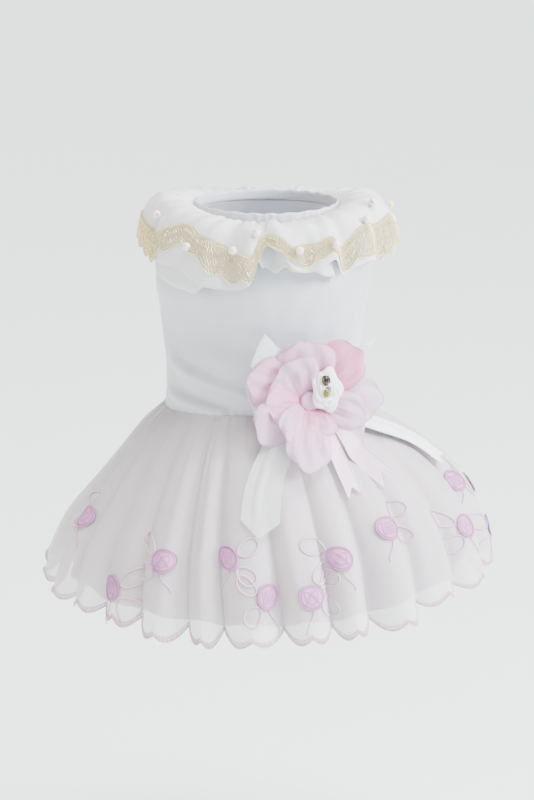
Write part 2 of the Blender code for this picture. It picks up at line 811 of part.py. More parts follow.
def flower_frame():
    """Seat of the flower on the bodice, its outward axis, and its right and up directions."""
    down = np.array((FLOWER_DROP - BAND_HEIGHT) / (BODICE_LENGTH - BAND_HEIGHT))
    seat = bodice_point(np.array(FLOWER_ANGLE), down)
    turn, tilt = math.radians(FLOWER_TURN), math.radians(FLOWER_TILT)
    axis = np.array([math.sin(turn) * math.cos(tilt), -math.cos(turn) * math.cos(tilt), math.sin(tilt)])
    up = unit(np.array([0.0, 0.0, 1.0]) - axis * axis[2])
    right = np.cross(up, axis)
    return seat, axis, right, up


def placed(seat, axis, right, up, x, y, height):
    """Point of the flower's frame in the dress's frame."""
    x, y, height = np.broadcast_arrays(x, y, height)
    return seat + x[..., None] * right + y[..., None] * up + height[..., None] * axis


def make_core(frame):
    """Knot that the petals and the bow are sewn to."""
    sides = 12
    turn = np.radians(np.arange(sides) * 360.0 / sides)
    rows = []
    for share, height in CORE_SECTION:
        x = CORE_RADIUS * share * np.cos(turn)
        y = CORE_RADIUS * share * np.sin(turn)
        rows.append(placed(*frame, x, y, np.full(sides, CORE_LENGTH * height)))
    add_stack("bow_core", rows, "deep_pink")


def make_petal(frame, name, turn, length, width, layer, tilt, rise, colour):
    """Cupped petal, layered and tilted so that neighbours lap without touching."""
    angle = math.radians(turn)
    slope = math.tan(math.radians(rise))
    blade = math.tan(math.radians(tilt))
    along, side = np.meshgrid(np.linspace(0.0, 1.0, 5), np.linspace(-1.0, 1.0, 5), indexing="ij")
    shape = np.interp(along, column_of(PETAL_SHAPE, 0), column_of(PETAL_SHAPE, 1))
    half = 0.5 * PETAL_WIDTH * width * shape * side
    root = CORE_RADIUS + GAP
    run = length * PETAL_LENGTH - root
    radius = root + run * along * (1.0 - 0.10 * side ** 2 * along)
    x = radius * math.cos(angle) - half * math.sin(angle)
    y = radius * math.sin(angle) + half * math.cos(angle)
    curl = 0.06 * PETAL_LENGTH * (np.sin(np.pi * along) - 0.5 * along * side ** 2)
    height = PETAL_HEIGHT + PETAL_LAYER * layer + (radius - root) * slope - half * blade + curl
    outer = placed(*frame, x, y, height)
    inner = outer - PETAL_WALL * grid_normals(outer, False)
    wall(name, outer, inner, False, colour)


def make_loop(frame, name, turn, length, width, rise):
    """Ribbon loop: out along its face, round the end and back behind."""
    angle = math.radians(turn)
    path = np.array(LOOP_PATH)
    root = CORE_RADIUS + GAP
    reach = root + (length * LOOP_LENGTH - root) * path[:, 0]
    spread = 0.28 + 0.72 * np.minimum(1.0, path[:, 0] * 1.6)
    side = np.array([-1.0, 0.0, 1.0])
    half = 0.5 * LOOP_WIDTH * width * spread[:, None] * side
    radius = np.repeat(reach[:, None], 3, axis=1)
    x = radius * math.cos(angle) - half * math.sin(angle)
    y = radius * math.sin(angle) + half * math.cos(angle)
    lean = (reach - root) * math.tan(math.radians(rise))
    height = np.repeat((LOOP_HEIGHT + 0.5 * LOOP_OPENING * path[:, 1] + lean)[:, None], 3, axis=1)
    outer = placed(*frame, x, y, height)
    inner = outer - LOOP_WALL * grid_normals(outer, False)
    wall(name, outer, inner, False, "organza")


def make_point(frame):
    """Flat ribbon end that stands out behind the petals as a point."""
    angle = math.radians(POINT_TURN)
    along, side = np.meshgrid(np.linspace(0.0, 1.0, 5), np.linspace(-1.0, 1.0, 3), indexing="ij")
    root = CORE_RADIUS + GAP
    run = POINT_LENGTH - root
    radius = root + run * along * (1.0 - 0.16 * (1.0 - side) * along)
    half = 0.5 * LOOP_WIDTH * (0.42 + 0.30 * along - 0.50 * along ** 4) * side
    x = radius * math.cos(angle) - half * math.sin(angle)
    y = radius * math.sin(angle) + half * math.cos(angle)
    outer = placed(*frame, x, y, LOOP_HEIGHT + (radius - root) * math.tan(math.radians(POINT_RISE)))
    inner = outer - PETAL_WALL * grid_normals(outer, False)
    wall("white_bow_point", outer, inner, False, "satin")


def make_laid_tail(name, stations, notch, colour):
    """Ribbon laid on the gathers: its edges are found by turning and sliding on the skirt."""
    angle, down, share = (column_of(stations, index) for index in range(3))
    width = PETAL_LENGTH * share
    heading = unit(np.gradient(skirt_point(angle, down), axis=0))
    beside = skirt_point(angle + 1.0, down) - skirt_point(angle - 1.0, down)
    below = skirt_point(angle, down + 0.01) - skirt_point(angle, down - 0.01)
    side = unit(np.cross(np.cross(below, beside), heading))
    turn = (side * unit(beside)).sum(-1) / (0.5 * np.linalg.norm(beside, axis=-1))
    fall = (side * unit(below)).sum(-1) / (50.0 * np.linalg.norm(below, axis=-1))
    offset = 0.5 * width[:, None] * np.array([-1.0, 0.0, 1.0])
    angles = angle[:, None] + turn[:, None] * offset
    downs = down[:, None] + fall[:, None] * offset
    points = skirt_point(angles, downs)
    points[-1, 1] -= notch * width[-1] * heading[-1]
    normals = grid_normals(points, False)
    inner = points + normals * TAIL_LIFT
    outer = inner + normals * TAIL_WALL
    wall(name, outer, inner, False, colour)


def make_falling_tail(frame, name, stations, notch, colour):
    """Ribbon that starts at the core and falls over the petals to the skirt."""
    x, y, height, width = (PETAL_LENGTH * column_of(stations, index) for index in range(4))
    middle = placed(*frame, x, y, height)
    heading = unit(np.gradient(middle, axis=0))
    side = unit(np.cross(frame[1], heading))
    offset = 0.5 * width[:, None] * np.array([-1.0, 0.0, 1.0])
    inner = middle[:, None] + side[:, None] * offset[..., None]
    inner[-1, 1] -= notch * width[-1] * heading[-1]
    outer = inner + TAIL_WALL * grid_normals(inner, False)
    wall(name, outer, inner, False, colour)


def make_rosette(frame):
    """Small satin rosette of lapped turns, seated on the core."""
    sides = 15
    turn = np.radians(np.arange(sides) * 360.0 / sides)
    lobes = 1.0 + 0.09 * np.cos(5.0 * turn)
    rows = []
    for share, height in ROSETTE_SECTION:
        x = 0.5 * ROSETTE_WIDTH * share * lobes * np.cos(turn) + ROSETTE_ASIDE
        y = 0.5 * ROSETTE_HEIGHT * share * lobes * np.sin(turn) + ROSETTE_ABOVE
        level = CORE_LENGTH + GAP + ROSETTE_DEPTH * height
        rows.append(placed(*frame, x, y, np.full(sides, level)))
    add_stack("rosette", rows, "satin")


def make_stone(frame, name, size, x, y, colour):
    """Flat-backed cut stone: girdle, eight crown facets and a table."""
    turn = np.radians(22.5 + np.arange(8) * 45.0)
    base = CORE_LENGTH + 2.0 * GAP + ROSETTE_DEPTH
    rows = []
    for share, height in STONE_SECTION:
        across = x + 0.5 * size * share * np.cos(turn)
        along = y + 0.58 * size * share * np.sin(turn)
        rows.append(placed(*frame, across, along, np.full(8, base + STONE_DEPTH * height)))
    add_stack(name, rows, colour)


def make_flower_and_bow():
    """Flower, bow, tails, rosette and stones at the waist."""
    frame = flower_frame()
    make_core(frame)
    for petal in PETALS:
        make_petal(frame, *petal)
    for loop in LOOPS:
        make_loop(frame, *loop)
    make_point(frame)
    for tail in FALLING_TAILS:
        make_falling_tail(frame, *tail)
    for tail in LAID_TAILS:
        make_laid_tail(*tail)
    make_rosette(frame)
    aside = ROSETTE_ASIDE - 0.06 * ROSETTE_WIDTH
    upper = ROSETTE_ABOVE + 0.23 * ROSETTE_HEIGHT
    lower = ROSETTE_ABOVE - 0.06 * ROSETTE_HEIGHT
    make_stone(frame, "stone_dark", STONE_DARK, aside, upper, "dark_stone")
    make_stone(frame, "stone_green", STONE_GREEN, aside, lower, "green_stone")


def main():
    """Build the whole dress."""
    clear_scene()
    make_bodice()
    make_neck_band()
    make_collar()
    make_skirt()
    make_flower_and_bow()


main()
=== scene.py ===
"""Looks of a small dog's party dress: satin bodice, lace-edged ruffle collar, sheer skirt, flower and bow.

Metres, +Z up. The decorated side faces -Y. Angles are in degrees from -Y (0) towards +X (90), and
places along a piece are shares from 0 to 1 unless a name says otherwise.
"""
import math

import bmesh
import bpy
import numpy as np
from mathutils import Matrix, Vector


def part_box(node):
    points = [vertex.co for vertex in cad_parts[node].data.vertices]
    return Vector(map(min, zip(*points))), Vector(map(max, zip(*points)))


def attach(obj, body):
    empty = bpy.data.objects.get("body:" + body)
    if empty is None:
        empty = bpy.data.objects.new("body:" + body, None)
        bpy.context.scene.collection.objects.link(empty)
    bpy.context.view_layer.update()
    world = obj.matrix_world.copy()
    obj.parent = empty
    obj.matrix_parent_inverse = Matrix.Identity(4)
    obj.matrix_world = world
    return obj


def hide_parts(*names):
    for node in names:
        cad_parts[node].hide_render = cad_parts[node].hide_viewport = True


bl_info = {
    "name": "Dog party dress",
    "version": (1, 0, 0),
    "blender": (4, 5, 0),
    "location": "View3D > Sidebar > Dress",
    "description": "Makes the cloth, lace, beads, embroidery and ribbons of a small dog's party dress",
    "category": "Object",
}

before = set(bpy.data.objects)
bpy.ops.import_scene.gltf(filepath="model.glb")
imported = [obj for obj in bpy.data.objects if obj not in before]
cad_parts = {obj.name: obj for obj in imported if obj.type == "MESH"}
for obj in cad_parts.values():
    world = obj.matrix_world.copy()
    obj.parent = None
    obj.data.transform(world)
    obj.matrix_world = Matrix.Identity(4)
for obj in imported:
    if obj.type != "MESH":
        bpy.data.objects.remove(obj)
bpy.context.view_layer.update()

# Sizes shared with the solids
NECK_WIDTH = 0.084
NECK_DEPTH = 0.072
NECK_DIP = 0.003
BAND_HEIGHT = 0.006
BAND_WALL = 0.002
COLLAR_WIDTH = 0.156
COLLAR_DEPTH = 0.134
COLLAR_DROP = 0.030
COLLAR_RISE = 0.008
UNDERLAYER_SHORTER = 0.0035
CHEST_WIDTH = 0.133
CHEST_DEPTH = 0.110
WAIST_WIDTH = 0.118
WAIST_DEPTH = 0.098
BODICE_LENGTH = 0.125
WAIST_DIP = 0.004
BODY_LEAN = 0.003
SATIN = 0.0012
SKIRT_LENGTH = 0.109
HEM_WIDTH = 0.287
HEM_DEPTH = 0.268
HEM_LIFT_LEFT = 0.008
HEM_LIFT_RIGHT = 0.017
GATHER_DEPTH = 0.0015
GATHER_PUFF = 0.0026
ORGANZA = 0.001
HEM_DROP = 0.005
LINING_TUCK = 0.005
LINING_LENGTH = 0.1085
FLOWER_ANGLE = 26.0
FLOWER_TURN = 14.0
FLOWER_TILT = 10.0
FLOWER_DROP = 0.114
CORE_RADIUS = 0.0062
CORE_LENGTH = 0.0135
PETAL_HEIGHT = 0.0070
PETAL_LAYER = 0.0020
PETAL_LENGTH = 0.038
PETAL_WIDTH = 0.0345
LOOP_HEIGHT = 0.0038
LOOP_OPENING = 0.0026
LOOP_WIDTH = 0.021
LOOP_LENGTH = 0.044
POINT_LENGTH = 0.056
POINT_TURN = 37.0
POINT_RISE = 7.0
TAIL_LIFT = 0.0007
ROSETTE_WIDTH = 0.0185
ROSETTE_HEIGHT = 0.0260
ROSETTE_ASIDE = 0.0065
ROSETTE_ABOVE = 0.0030
ROSETTE_DEPTH = 0.0045
SET_ASIDE = 0.0030
SET_ABOVE = 0.0034
GAP = 0.0003

BODICE_ROWS = [
    # down, spread, pull_in, lean
    (0.00, 0.07, 0.00, 0.0), (0.05, 0.42, 0.00, 0.1), (0.13, 0.79, 0.00, 0.2), (0.22, 0.98, 0.00, 0.3),
    (0.31, 1.00, 0.08, 0.5), (0.40, 1.00, 0.28, 0.7), (0.49, 1.00, 0.46, 0.8), (0.58, 1.00, 0.64, 0.9),
    (0.67, 1.00, 0.82, 1.0), (0.77, 1.00, 0.97, 1.0), (0.88, 1.00, 0.99, 1.0), (1.00, 1.00, 0.86, 1.0),
]
DRAPES = [
    # start_angle, start_down, end_angle, end_down, half_width, height
    (-100.0, 0.38, 90.0, 0.34, 0.080, 0.75),
    (-80.0, 0.60, 60.0, 0.56, 0.090, -0.80),
    (-70.0, 0.72, 6.0, 0.93, 0.042, 1.15),
    (-76.0, 0.89, -20.0, 0.985, 0.032, 0.75),
    (-30.0, 0.74, 34.0, 0.70, 0.060, 0.45), (-64.0, 0.84, 2.0, 1.00, 0.050, -0.60),
    (105.0, 0.62, 230.0, 0.58, 0.060, 0.60),
    (100.0, 0.82, 250.0, 0.86, 0.050, 0.60),
]
COLLAR_EDGE = [
    # angle, drop, reach
    (-180.0, 0.95, 0.98), (-165.0, 0.70, 1.03), (-150.0, 1.05, 0.97), (-135.0, 0.72, 1.04),
    (-118.0, 1.00, 0.98), (-104.0, 0.62, 1.03), (-90.0, 0.68, 1.00), (-73.0, 0.84, 0.98),
    (-56.0, 0.96, 1.01), (-43.0, 1.02, 0.99), (-29.0, 1.28, 1.01), (-18.0, 1.33, 0.97),
    (-8.0, 1.22, 1.01), (-3.0, 0.62, 0.92), (0.0, 0.46, 0.90), (6.0, 0.60, 0.96),
    (12.0, 0.92, 1.00), (18.0, 0.98, 0.98), (24.0, 0.90, 1.02), (30.0, 0.74, 1.03),
    (37.0, 1.12, 0.97), (43.0, 0.98, 1.00), (50.0, 0.88, 1.03), (60.0, 0.96, 0.99),
    (70.0, 0.84, 1.01), (82.0, 0.66, 1.03), (96.0, 0.80, 0.98), (110.0, 0.66, 1.04),
    (124.0, 1.02, 0.97), (138.0, 0.72, 1.03), (152.0, 1.02, 0.97), (166.0, 0.72, 1.03),
]
COLLAR_SECTION = [
    # out, reach, rise, drop
    (0.00, 0.00, 0.00, 0.00), (0.22, 0.26, 0.70, 0.03), (0.45, 0.58, 1.00, 0.14),
    (0.66, 0.83, 0.75, 0.40), (0.83, 0.95, 0.35, 0.70), (1.00, 1.00, 0.00, 1.00),
]
# How much lower than the ruffle the shorter layer peeks out
PEEK = [
    # angle, drop
    (-90.0, 0.00), (-72.0, 0.02), (-60.0, 0.30), (-47.0, 0.48), (-36.0, 0.34), (-26.0, -0.10), (-12.0, -0.10),
    (-6.0, -0.30), (-2.0, 0.35), (3.0, 0.50), (10.0, 0.05), (20.0, 0.00), (30.0, 0.35), (40.0, 0.00), (60.0, 0.00),
    (110.0, 0.20), (140.0, 0.20), (180.0, 0.00), (220.0, 0.20),
]
SKIRT_ROWS = [
    # down, left, right
    (0.00, 0.00, 0.00), (0.10, 0.15, 0.21), (0.25, 0.31, 0.49), (0.46, 0.53, 0.74), (0.72, 0.81, 0.92),
    (1.00, 1.00, 1.00),
]
FOLDS = [
    # waist_angle, hem_angle, height, hem_drop, crest
    (-94.0, -91.0, 0.80, 0.0, 0.50), (-80.0, -74.0, 0.90, 0.2, 0.46), (-69.0, -60.0, 0.85, 0.0, 0.55),
    (-57.0, -47.5, 0.75, 0.3, 0.58), (-43.0, -34.5, 1.00, 0.9, 0.50), (-27.0, -20.5, 0.85, 1.0, 0.60),
    (-17.0, -11.0, 1.00, 0.6, 0.42), (-2.0, 4.5, 1.00, 0.4, 0.52), (13.0, 17.0, 0.80, 0.6, 0.48),
    (25.0, 27.5, 1.00, 0.7, 0.55), (40.0, 43.0, 0.75, -0.3, 0.50), (56.0, 59.0, 0.95, 0.1, 0.45),
    (74.0, 76.0, 0.90, -0.1, 0.50), (91.0, 93.0, 0.85, 0.1, 0.52), (108.0, 110.0, 1.00, 0.4, 0.45),
    (126.0, 128.0, 0.80, 0.0, 0.55), (144.0, 145.0, 1.00, 0.5, 0.48), (162.0, 163.0, 0.85, 0.1, 0.52),
    (180.0, 180.0, 1.00, 0.6, 0.50), (198.0, 198.0, 0.80, 0.2, 0.46), (215.0, 216.0, 1.00, 0.5, 0.54),
    (233.0, 234.0, 0.85, 0.0, 0.50), (250.0, 252.0, 0.95, 0.2, 0.48),
]
FOLD_COUNT = len(FOLDS)
FOLD_COLUMNS = 5.0
DOTS = [
    # fold, column, down
    (1, 2.8, 0.60), (3, 2, 0.86), (4, 3, 0.66), (6, 1, 0.62), (6, 4, 0.80), (7, 3, 0.80), (8, 2, 0.63),
    (9, 3, 0.52), (11, 2, 0.66), (12, 1, 0.46), (12, 3, 0.82), (13, 3, 0.62), (14, 2, 0.84), (15, 3, 0.60),
    (16, 2, 0.82), (17, 3, 0.58), (18, 2, 0.84), (19, 3, 0.60), (20, 2, 0.82), (21, 3, 0.62),
]
PETALS = [
    # name, turn, length, width, layer, tilt, rise, finish
    ("petal_top", 94.0, 0.94, 1.02, 1, 0.0, 13.0, "pink_organza"),
    ("petal_left", 154.0, 1.08, 0.88, 0.2, 0.0, 13.0, "pink_organza"),
    ("petal_low_left", 207.0, 1.06, 0.84, 1, 10.0, 22.0, "pale_pink_organza"),
    ("petal_bottom", 256.0, 1.06, 0.78, 2, 0.0, 39.0, "pale_pink_organza"),
    ("petal_low_right", 312.0, 1.08, 0.88, 0.0, 8.0, 16.5, "pale_pink_organza"),
    ("petal_right", 0.0, 1.18, 0.86, -0.5, -3.0, 8.0, "pale_pink_organza"),
    ("petal_dark", 46.0, 1.14, 0.80, 0, 10.0, 9.0, "deep_pink_organza"),
]
INNER_PETALS = [
    # name, turn, length, width, layer, tilt, rise, finish
    ("inner_petal_1", 118.0, 0.74, 0.80, 2.0, 5.0, 22.0, "pale_pink_organza"),
    ("inner_petal_2", 176.0, 0.76, 0.72, 1.6, -8.0, 26.0, "pink_organza"),
    ("inner_petal_3", 232.0, 0.74, 0.70, 2.3, 8.0, 36.0, "pale_pink_organza"),
    ("inner_petal_4", 340.0, 0.86, 0.70, 1.4, 8.0, 24.0, "pale_pink_organza"),
    ("inner_petal_5", 268.0, 0.56, 0.80, 2.9, 0.0, 34.0, "pink_organza"),
]
PETAL_SHAPE = [
    # along, width
    (0.00, 0.46), (0.25, 0.80), (0.50, 1.00), (0.75, 1.04), (0.92, 0.88), (1.00, 0.66),
]
LOOPS = [
    # name, turn, length, width, rise
    ("white_loop_upper", 134.0, 1.04, 0.90, 13.0),
    ("white_loop_lower", 175.0, 0.82, 0.70, 0.0),
]
LOOP_PATH = [
    # step, along, height
    (0.0, 0.00, 0.70), (0.14, 0.35, 1.00), (0.29, 0.70, 1.00), (0.42, 0.93, 0.75), (0.50, 1.00, 0.00),
    (0.58, 0.93, -0.75), (0.71, 0.70, -1.00), (0.86, 0.35, -1.00), (1.0, 0.00, -0.70),
]
PINK_LEFT = [
    # right, up, height, width
    (0.079, -0.182, 0.312, 0.120), (0.145, -0.311, 0.372, 0.145), (0.204, -0.468, 0.478, 0.175),
    (0.254, -0.626, 0.545, 0.195), (0.300, -0.784, 0.604, 0.212), (0.358, -1.000, 0.735, 0.222),
    (0.421, -1.237, 0.893, 0.226), (0.479, -1.460, 1.040, 0.230),
]
PINK_RIGHT = [
    # right, up, height, width
    (0.262, -0.147, 0.334, 0.125), (0.318, -0.260, 0.380, 0.165), (0.412, -0.390, 0.475, 0.205),
    (0.494, -0.522, 0.540, 0.240), (0.568, -0.652, 0.582, 0.262), (0.640, -0.795, 0.615, 0.285),
    (0.765, -0.934, 0.662, 0.295), (0.921, -1.092, 0.715, 0.300), (1.118, -1.255, 0.770, 0.305),
]
WHITE_LEFT = [
    # angle, down, width
    (17.0, -0.020, 0.21), (10.5, 0.060, 0.34), (5.0, 0.150, 0.45), (1.0, 0.250, 0.51), (-1.0, 0.360, 0.565),
    (-1.5, 0.450, 0.59),
]
WHITE_RIGHT = [
    # angle, down, width
    (50.0, -0.020, 0.26), (59.0, 0.040, 0.46), (67.0, 0.100, 0.50), (73.5, 0.165, 0.47), (77.0, 0.235, 0.43),
    (79.5, 0.330, 0.38),
]
PEARLS = [
    # angle, out
    (-65.0, 0.62), (-38.0, 0.76), (-15.0, 0.70), (-5.0, 0.60), (14.0, 0.78), (30.0, 0.82), (52.0, 0.62),
    (70.0, 0.50), (105.0, 0.72), (148.0, 0.74), (-158.0, 0.74), (-112.0, 0.72),
]


# Tables and curves

def column_of(table, index):
    """One named column of a table as an array."""
    return np.array([row[index] for row in table], dtype=float)


def smooth(at, keys, values, period=0.0):
    """Rounded curve through a table: a cubic in each span whose end slope is the harmonic mean of the
    chords on both sides, and level where they turn, so that it never swings past the table's values."""
    keys, values = np.asarray(keys, float), np.asarray(values, float)
    at = np.asarray(at, float)
    if period:
        at = (at - keys[0]) % period + keys[0]
        keys = np.concatenate([keys[-2:] - period, keys, keys[:2] + period])
        values = np.concatenate([values[-2:], values, values[:2]])
    step = np.diff(keys)
    chord = np.diff(values) / step
    before, after = 2.0 * step[1:] + step[:-1], step[1:] + 2.0 * step[:-1]
    same = chord[:-1] * chord[1:] > 0.0
    left, right = np.where(same, chord[:-1], 1.0), np.where(same, chord[1:], 1.0)
    middle = np.where(same, (before + after) / (before / left + after / right), 0.0)
    slope = np.concatenate([chord[:1], middle, chord[-1:]])
    spot = np.clip(np.searchsorted(keys, at, side="right") - 1, 0, len(keys) - 2)
    share = np.clip((at - keys[spot]) / step[spot], 0.0, 1.0)
    square, cube = share ** 2, share ** 3
    return (values[spot] * (2.0 * cube - 3.0 * square + 1.0) + values[spot + 1] * (3.0 * square - 2.0 * cube)
            + step[spot] * (slope[spot] * (cube - 2.0 * square + share) + slope[spot + 1] * (cube - square)))


def read(table, index, at, period=0.0):
    """Rounded value of one column of a table keyed by its first column."""
    return smooth(at, column_of(table, 0), column_of(table, index), period)


def ripple(u, v, seed, waves=7):
    """Soft uneven cloth from -1 to 1: sine waves of fixed seeded directions and phases added up."""
    pick = np.random.default_rng(seed)
    total = np.zeros(np.broadcast(u, v).shape)
    for _ in range(waves):
        along, across = pick.uniform(-1.0, 1.0, 2)
        total = total + np.sin(2.0 * np.pi * (u * along + v * across) + pick.uniform(0.0, 2.0 * np.pi))
    return total / waves


def unit(vectors):
    """Vectors scaled to length one."""
    return vectors / np.maximum(np.linalg.norm(vectors, axis=-1, keepdims=True), 1e-12)


def grid_normals(points, wraps=False):
    """Outward normals of a grid whose rows run down and whose columns run to the right."""
    down = np.gradient(points, axis=0)
    if wraps:
        across = np.roll(points, -1, axis=1) - np.roll(points, 1, axis=1)
    else:
        across = np.gradient(points, axis=1)
    return unit(np.cross(down, across))


def grid(low_row, high_row, rows, low_column, high_column, columns):
    """Two arrays, rows by columns, of evenly spaced values down and across."""
    return np.meshgrid(np.linspace(low_row, high_row, rows), np.linspace(low_column, high_column, columns),
                       indexing="ij")


def ring(rows, columns):
    """Shares down and angles once round, the last column stopping short of the first."""
    return np.meshgrid(np.linspace(0.0, 1.0, rows), np.arange(columns) * 360.0 / columns, indexing="ij")


# Surfaces of the dress

def oval(angle, width, depth):
    """Point of an ellipse: half the width times the sine, less half the depth times the cosine."""
    turn = np.radians(angle)
    return 0.5 * width * np.sin(turn), -0.5 * depth * np.cos(turn)


def neck_level(angle):
    """Height of the neck edge, which dips at the decorated side as a squared cosine bell."""
    return -NECK_DIP * (0.5 + 0.5 * np.cos(np.radians(angle))) ** 2


def waist_level(angle):
    """Height of the waist seam, lower at the sides by a squared sine."""
    return -BODICE_LENGTH - WAIST_DIP * np.sin(np.radians(angle)) ** 2


def drape(angle, down):
    """Height of the satin's folds: a bell across each crest line, faded at its two ends."""
    height = np.zeros(np.broadcast(angle, down).shape)
    for start_angle, start_down, end_angle, end_down, half_width, share in DRAPES:
        span = end_angle - start_angle
        along = (((angle - start_angle + 180.0) % 360.0) - 180.0) / span
        along = np.where(along < -0.5, along + 360.0 / span, along)
        crest = start_down + (end_down - start_down) * along
        fade = np.clip(np.sin(np.pi * np.clip(along, 0.0, 1.0)), 0.0, 1.0) ** 0.6
        height = height + share * fade * np.exp(-((down - crest) / half_width) ** 2)
    return height


def bodice_size(down):
    """Width, depth and lean of the bodice at a share down its length."""
    spread, pull, lean = (read(BODICE_ROWS, index, down) for index in (1, 2, 3))
    start_width, start_depth = NECK_WIDTH + 2.0 * BAND_WALL, NECK_DEPTH + 2.0 * BAND_WALL
    width = start_width + (CHEST_WIDTH - start_width) * spread + (WAIST_WIDTH - CHEST_WIDTH) * pull
    depth = start_depth + (CHEST_DEPTH - start_depth) * spread + (WAIST_DEPTH - CHEST_DEPTH) * pull
    return width, depth, -BODY_LEAN * lean


def bodice_point(angle, down, lift=0.0):
    """Oval sections from neck to waist, pushed out by the drape folds and a lift."""
    width, depth, lean = bodice_size(down)
    swell = 2.0 * (bpy.context.scene.dress_sizes.drape_height * drape(angle, down) + lift)
    x, y = oval(angle, width + swell, depth + swell)
    top = neck_level(angle) - BAND_HEIGHT - GAP
    return np.stack(np.broadcast_arrays(x + lean, y, top + (waist_level(angle) - top) * down), axis=-1)


def collar_point(angle, out, start_drop, shorter, lift_share=1.0, extra_drop=0.0):
    """Ruffle from the neck band out to its edge: reach, rise and drop follow the section's table, and the
    edge's reach and drop follow the edge's table round the neck."""
    reach, rise, drop = (read(COLLAR_SECTION, index, out) for index in (1, 2, 3))
    edge_drop = COLLAR_DROP * (read(COLLAR_EDGE, 1, angle, 360.0) + extra_drop)
    edge_reach = read(COLLAR_EDGE, 2, angle, 360.0)
    root = 2.0 * BAND_WALL + 2.0 * GAP
    width = NECK_WIDTH + root + (COLLAR_WIDTH * edge_reach - 2.0 * shorter - NECK_WIDTH - root) * reach
    depth = NECK_DEPTH + root + (COLLAR_DEPTH * edge_reach - 2.0 * shorter - NECK_DEPTH - root) * reach
    x, y = oval(angle, width, depth)
    billow = COLLAR_RISE * (0.25 + 0.75 * np.sin(np.radians(angle)) ** 2) * lift_share
    z = neck_level(angle) - start_drop + billow * rise - edge_drop * drop
    return np.stack(np.broadcast_arrays(x, y, z), axis=-1)


def seam_drop(angle, out):
    """How far below the neck edge the ruffle is sewn on: lower at the decorated side, where the band
    shows, by a cubed cosine bell that fades along the ruffle."""
    front = (0.5 + 0.5 * np.cos(np.radians(angle))) ** 3
    return BAND_HEIGHT * (0.25 + 0.75 * front * (1.0 - out) ** 2)


def ruffle_point(angle, out):
    """Top ruffle: the collar's surface with gathers near the neck and soft swells towards its edge."""
    points = collar_point(angle, out, seam_drop(angle, out), 0.0)
    turn = np.radians(angle)
    gathers = 0.0007 * np.sin(64.0 * turn + 2.0 * np.sin(5.0 * turn)) * np.exp(-((out - 0.12) / 0.16) ** 2)
    swells = 0.0022 * ripple(6.0 * turn, 2.0 * out, 11) * np.sin(np.pi * np.clip(out, 0.0, 1.0))
    waves = 0.0011 * np.sin(17.0 * turn + 2.4 * np.sin(4.0 * turn)) * np.sin(np.pi * np.clip(out, 0.0, 1.0)) ** 2
    points[..., 2] += (gathers + swells + waves) * (1.0 - 0.6 * out)
    return points


def ruffle_normal(angle, out):
    """Outward normal of the top ruffle from a short step along it and one round it."""
    step = ruffle_point(angle, out) - ruffle_point(angle, out - 0.02)
    side = ruffle_point(angle + 0.4, out) - ruffle_point(angle - 0.4, out)
    return unit(np.cross(step, side))


def skirt_point(angle, down, inward=0.0):
    """Envelope of the skirt from waist to hem, or a surface at a level distance inside it."""
    width, depth, lean = bodice_size(1.0)
    width, depth = width + 2.0 * GATHER_PUFF, depth + 2.0 * GATHER_PUFF
    side = np.sin(np.radians(angle))
    left = read(SKIRT_ROWS, 1, down)
    spread = left + (read(SKIRT_ROWS, 2, down) - left) * (0.5 + 0.5 * side)
    x, y = oval(angle, width + (HEM_WIDTH - width) * spread - 2.0 * inward,
                depth + (HEM_DEPTH - depth) * spread - 2.0 * inward)
    length = SKIRT_LENGTH - np.where(side > 0.0, HEM_LIFT_RIGHT, HEM_LIFT_LEFT) * side ** 2
    z = waist_level(angle) - GAP - length * down
    return np.stack(np.broadcast_arrays(x + lean * (1.0 - spread), y, z), axis=-1)


def fold_angle(place, down):
    """Angle of a place counted in folds, which fan out from the waist to the hem."""
    order = np.arange(FOLD_COUNT + 1)
    waist = np.append(column_of(FOLDS, 0), FOLDS[0][0] + 360.0)
    hem = np.append(column_of(FOLDS, 1), FOLDS[0][1] + 360.0)
    place = place % FOLD_COUNT
    start, end = np.interp(place, order, waist), np.interp(place, order, hem)
    return start + (end - start) * np.clip(down, 0.0, 1.0)


def fold_depth(down):
    """Depth of the folds: the small gather plus a share of the full depth that grows towards the hem."""
    full = bpy.context.scene.dress_sizes.fold_depth
    return GATHER_DEPTH + (full - GATHER_DEPTH) * np.clip(down, 0.0, 1.0) ** 0.85


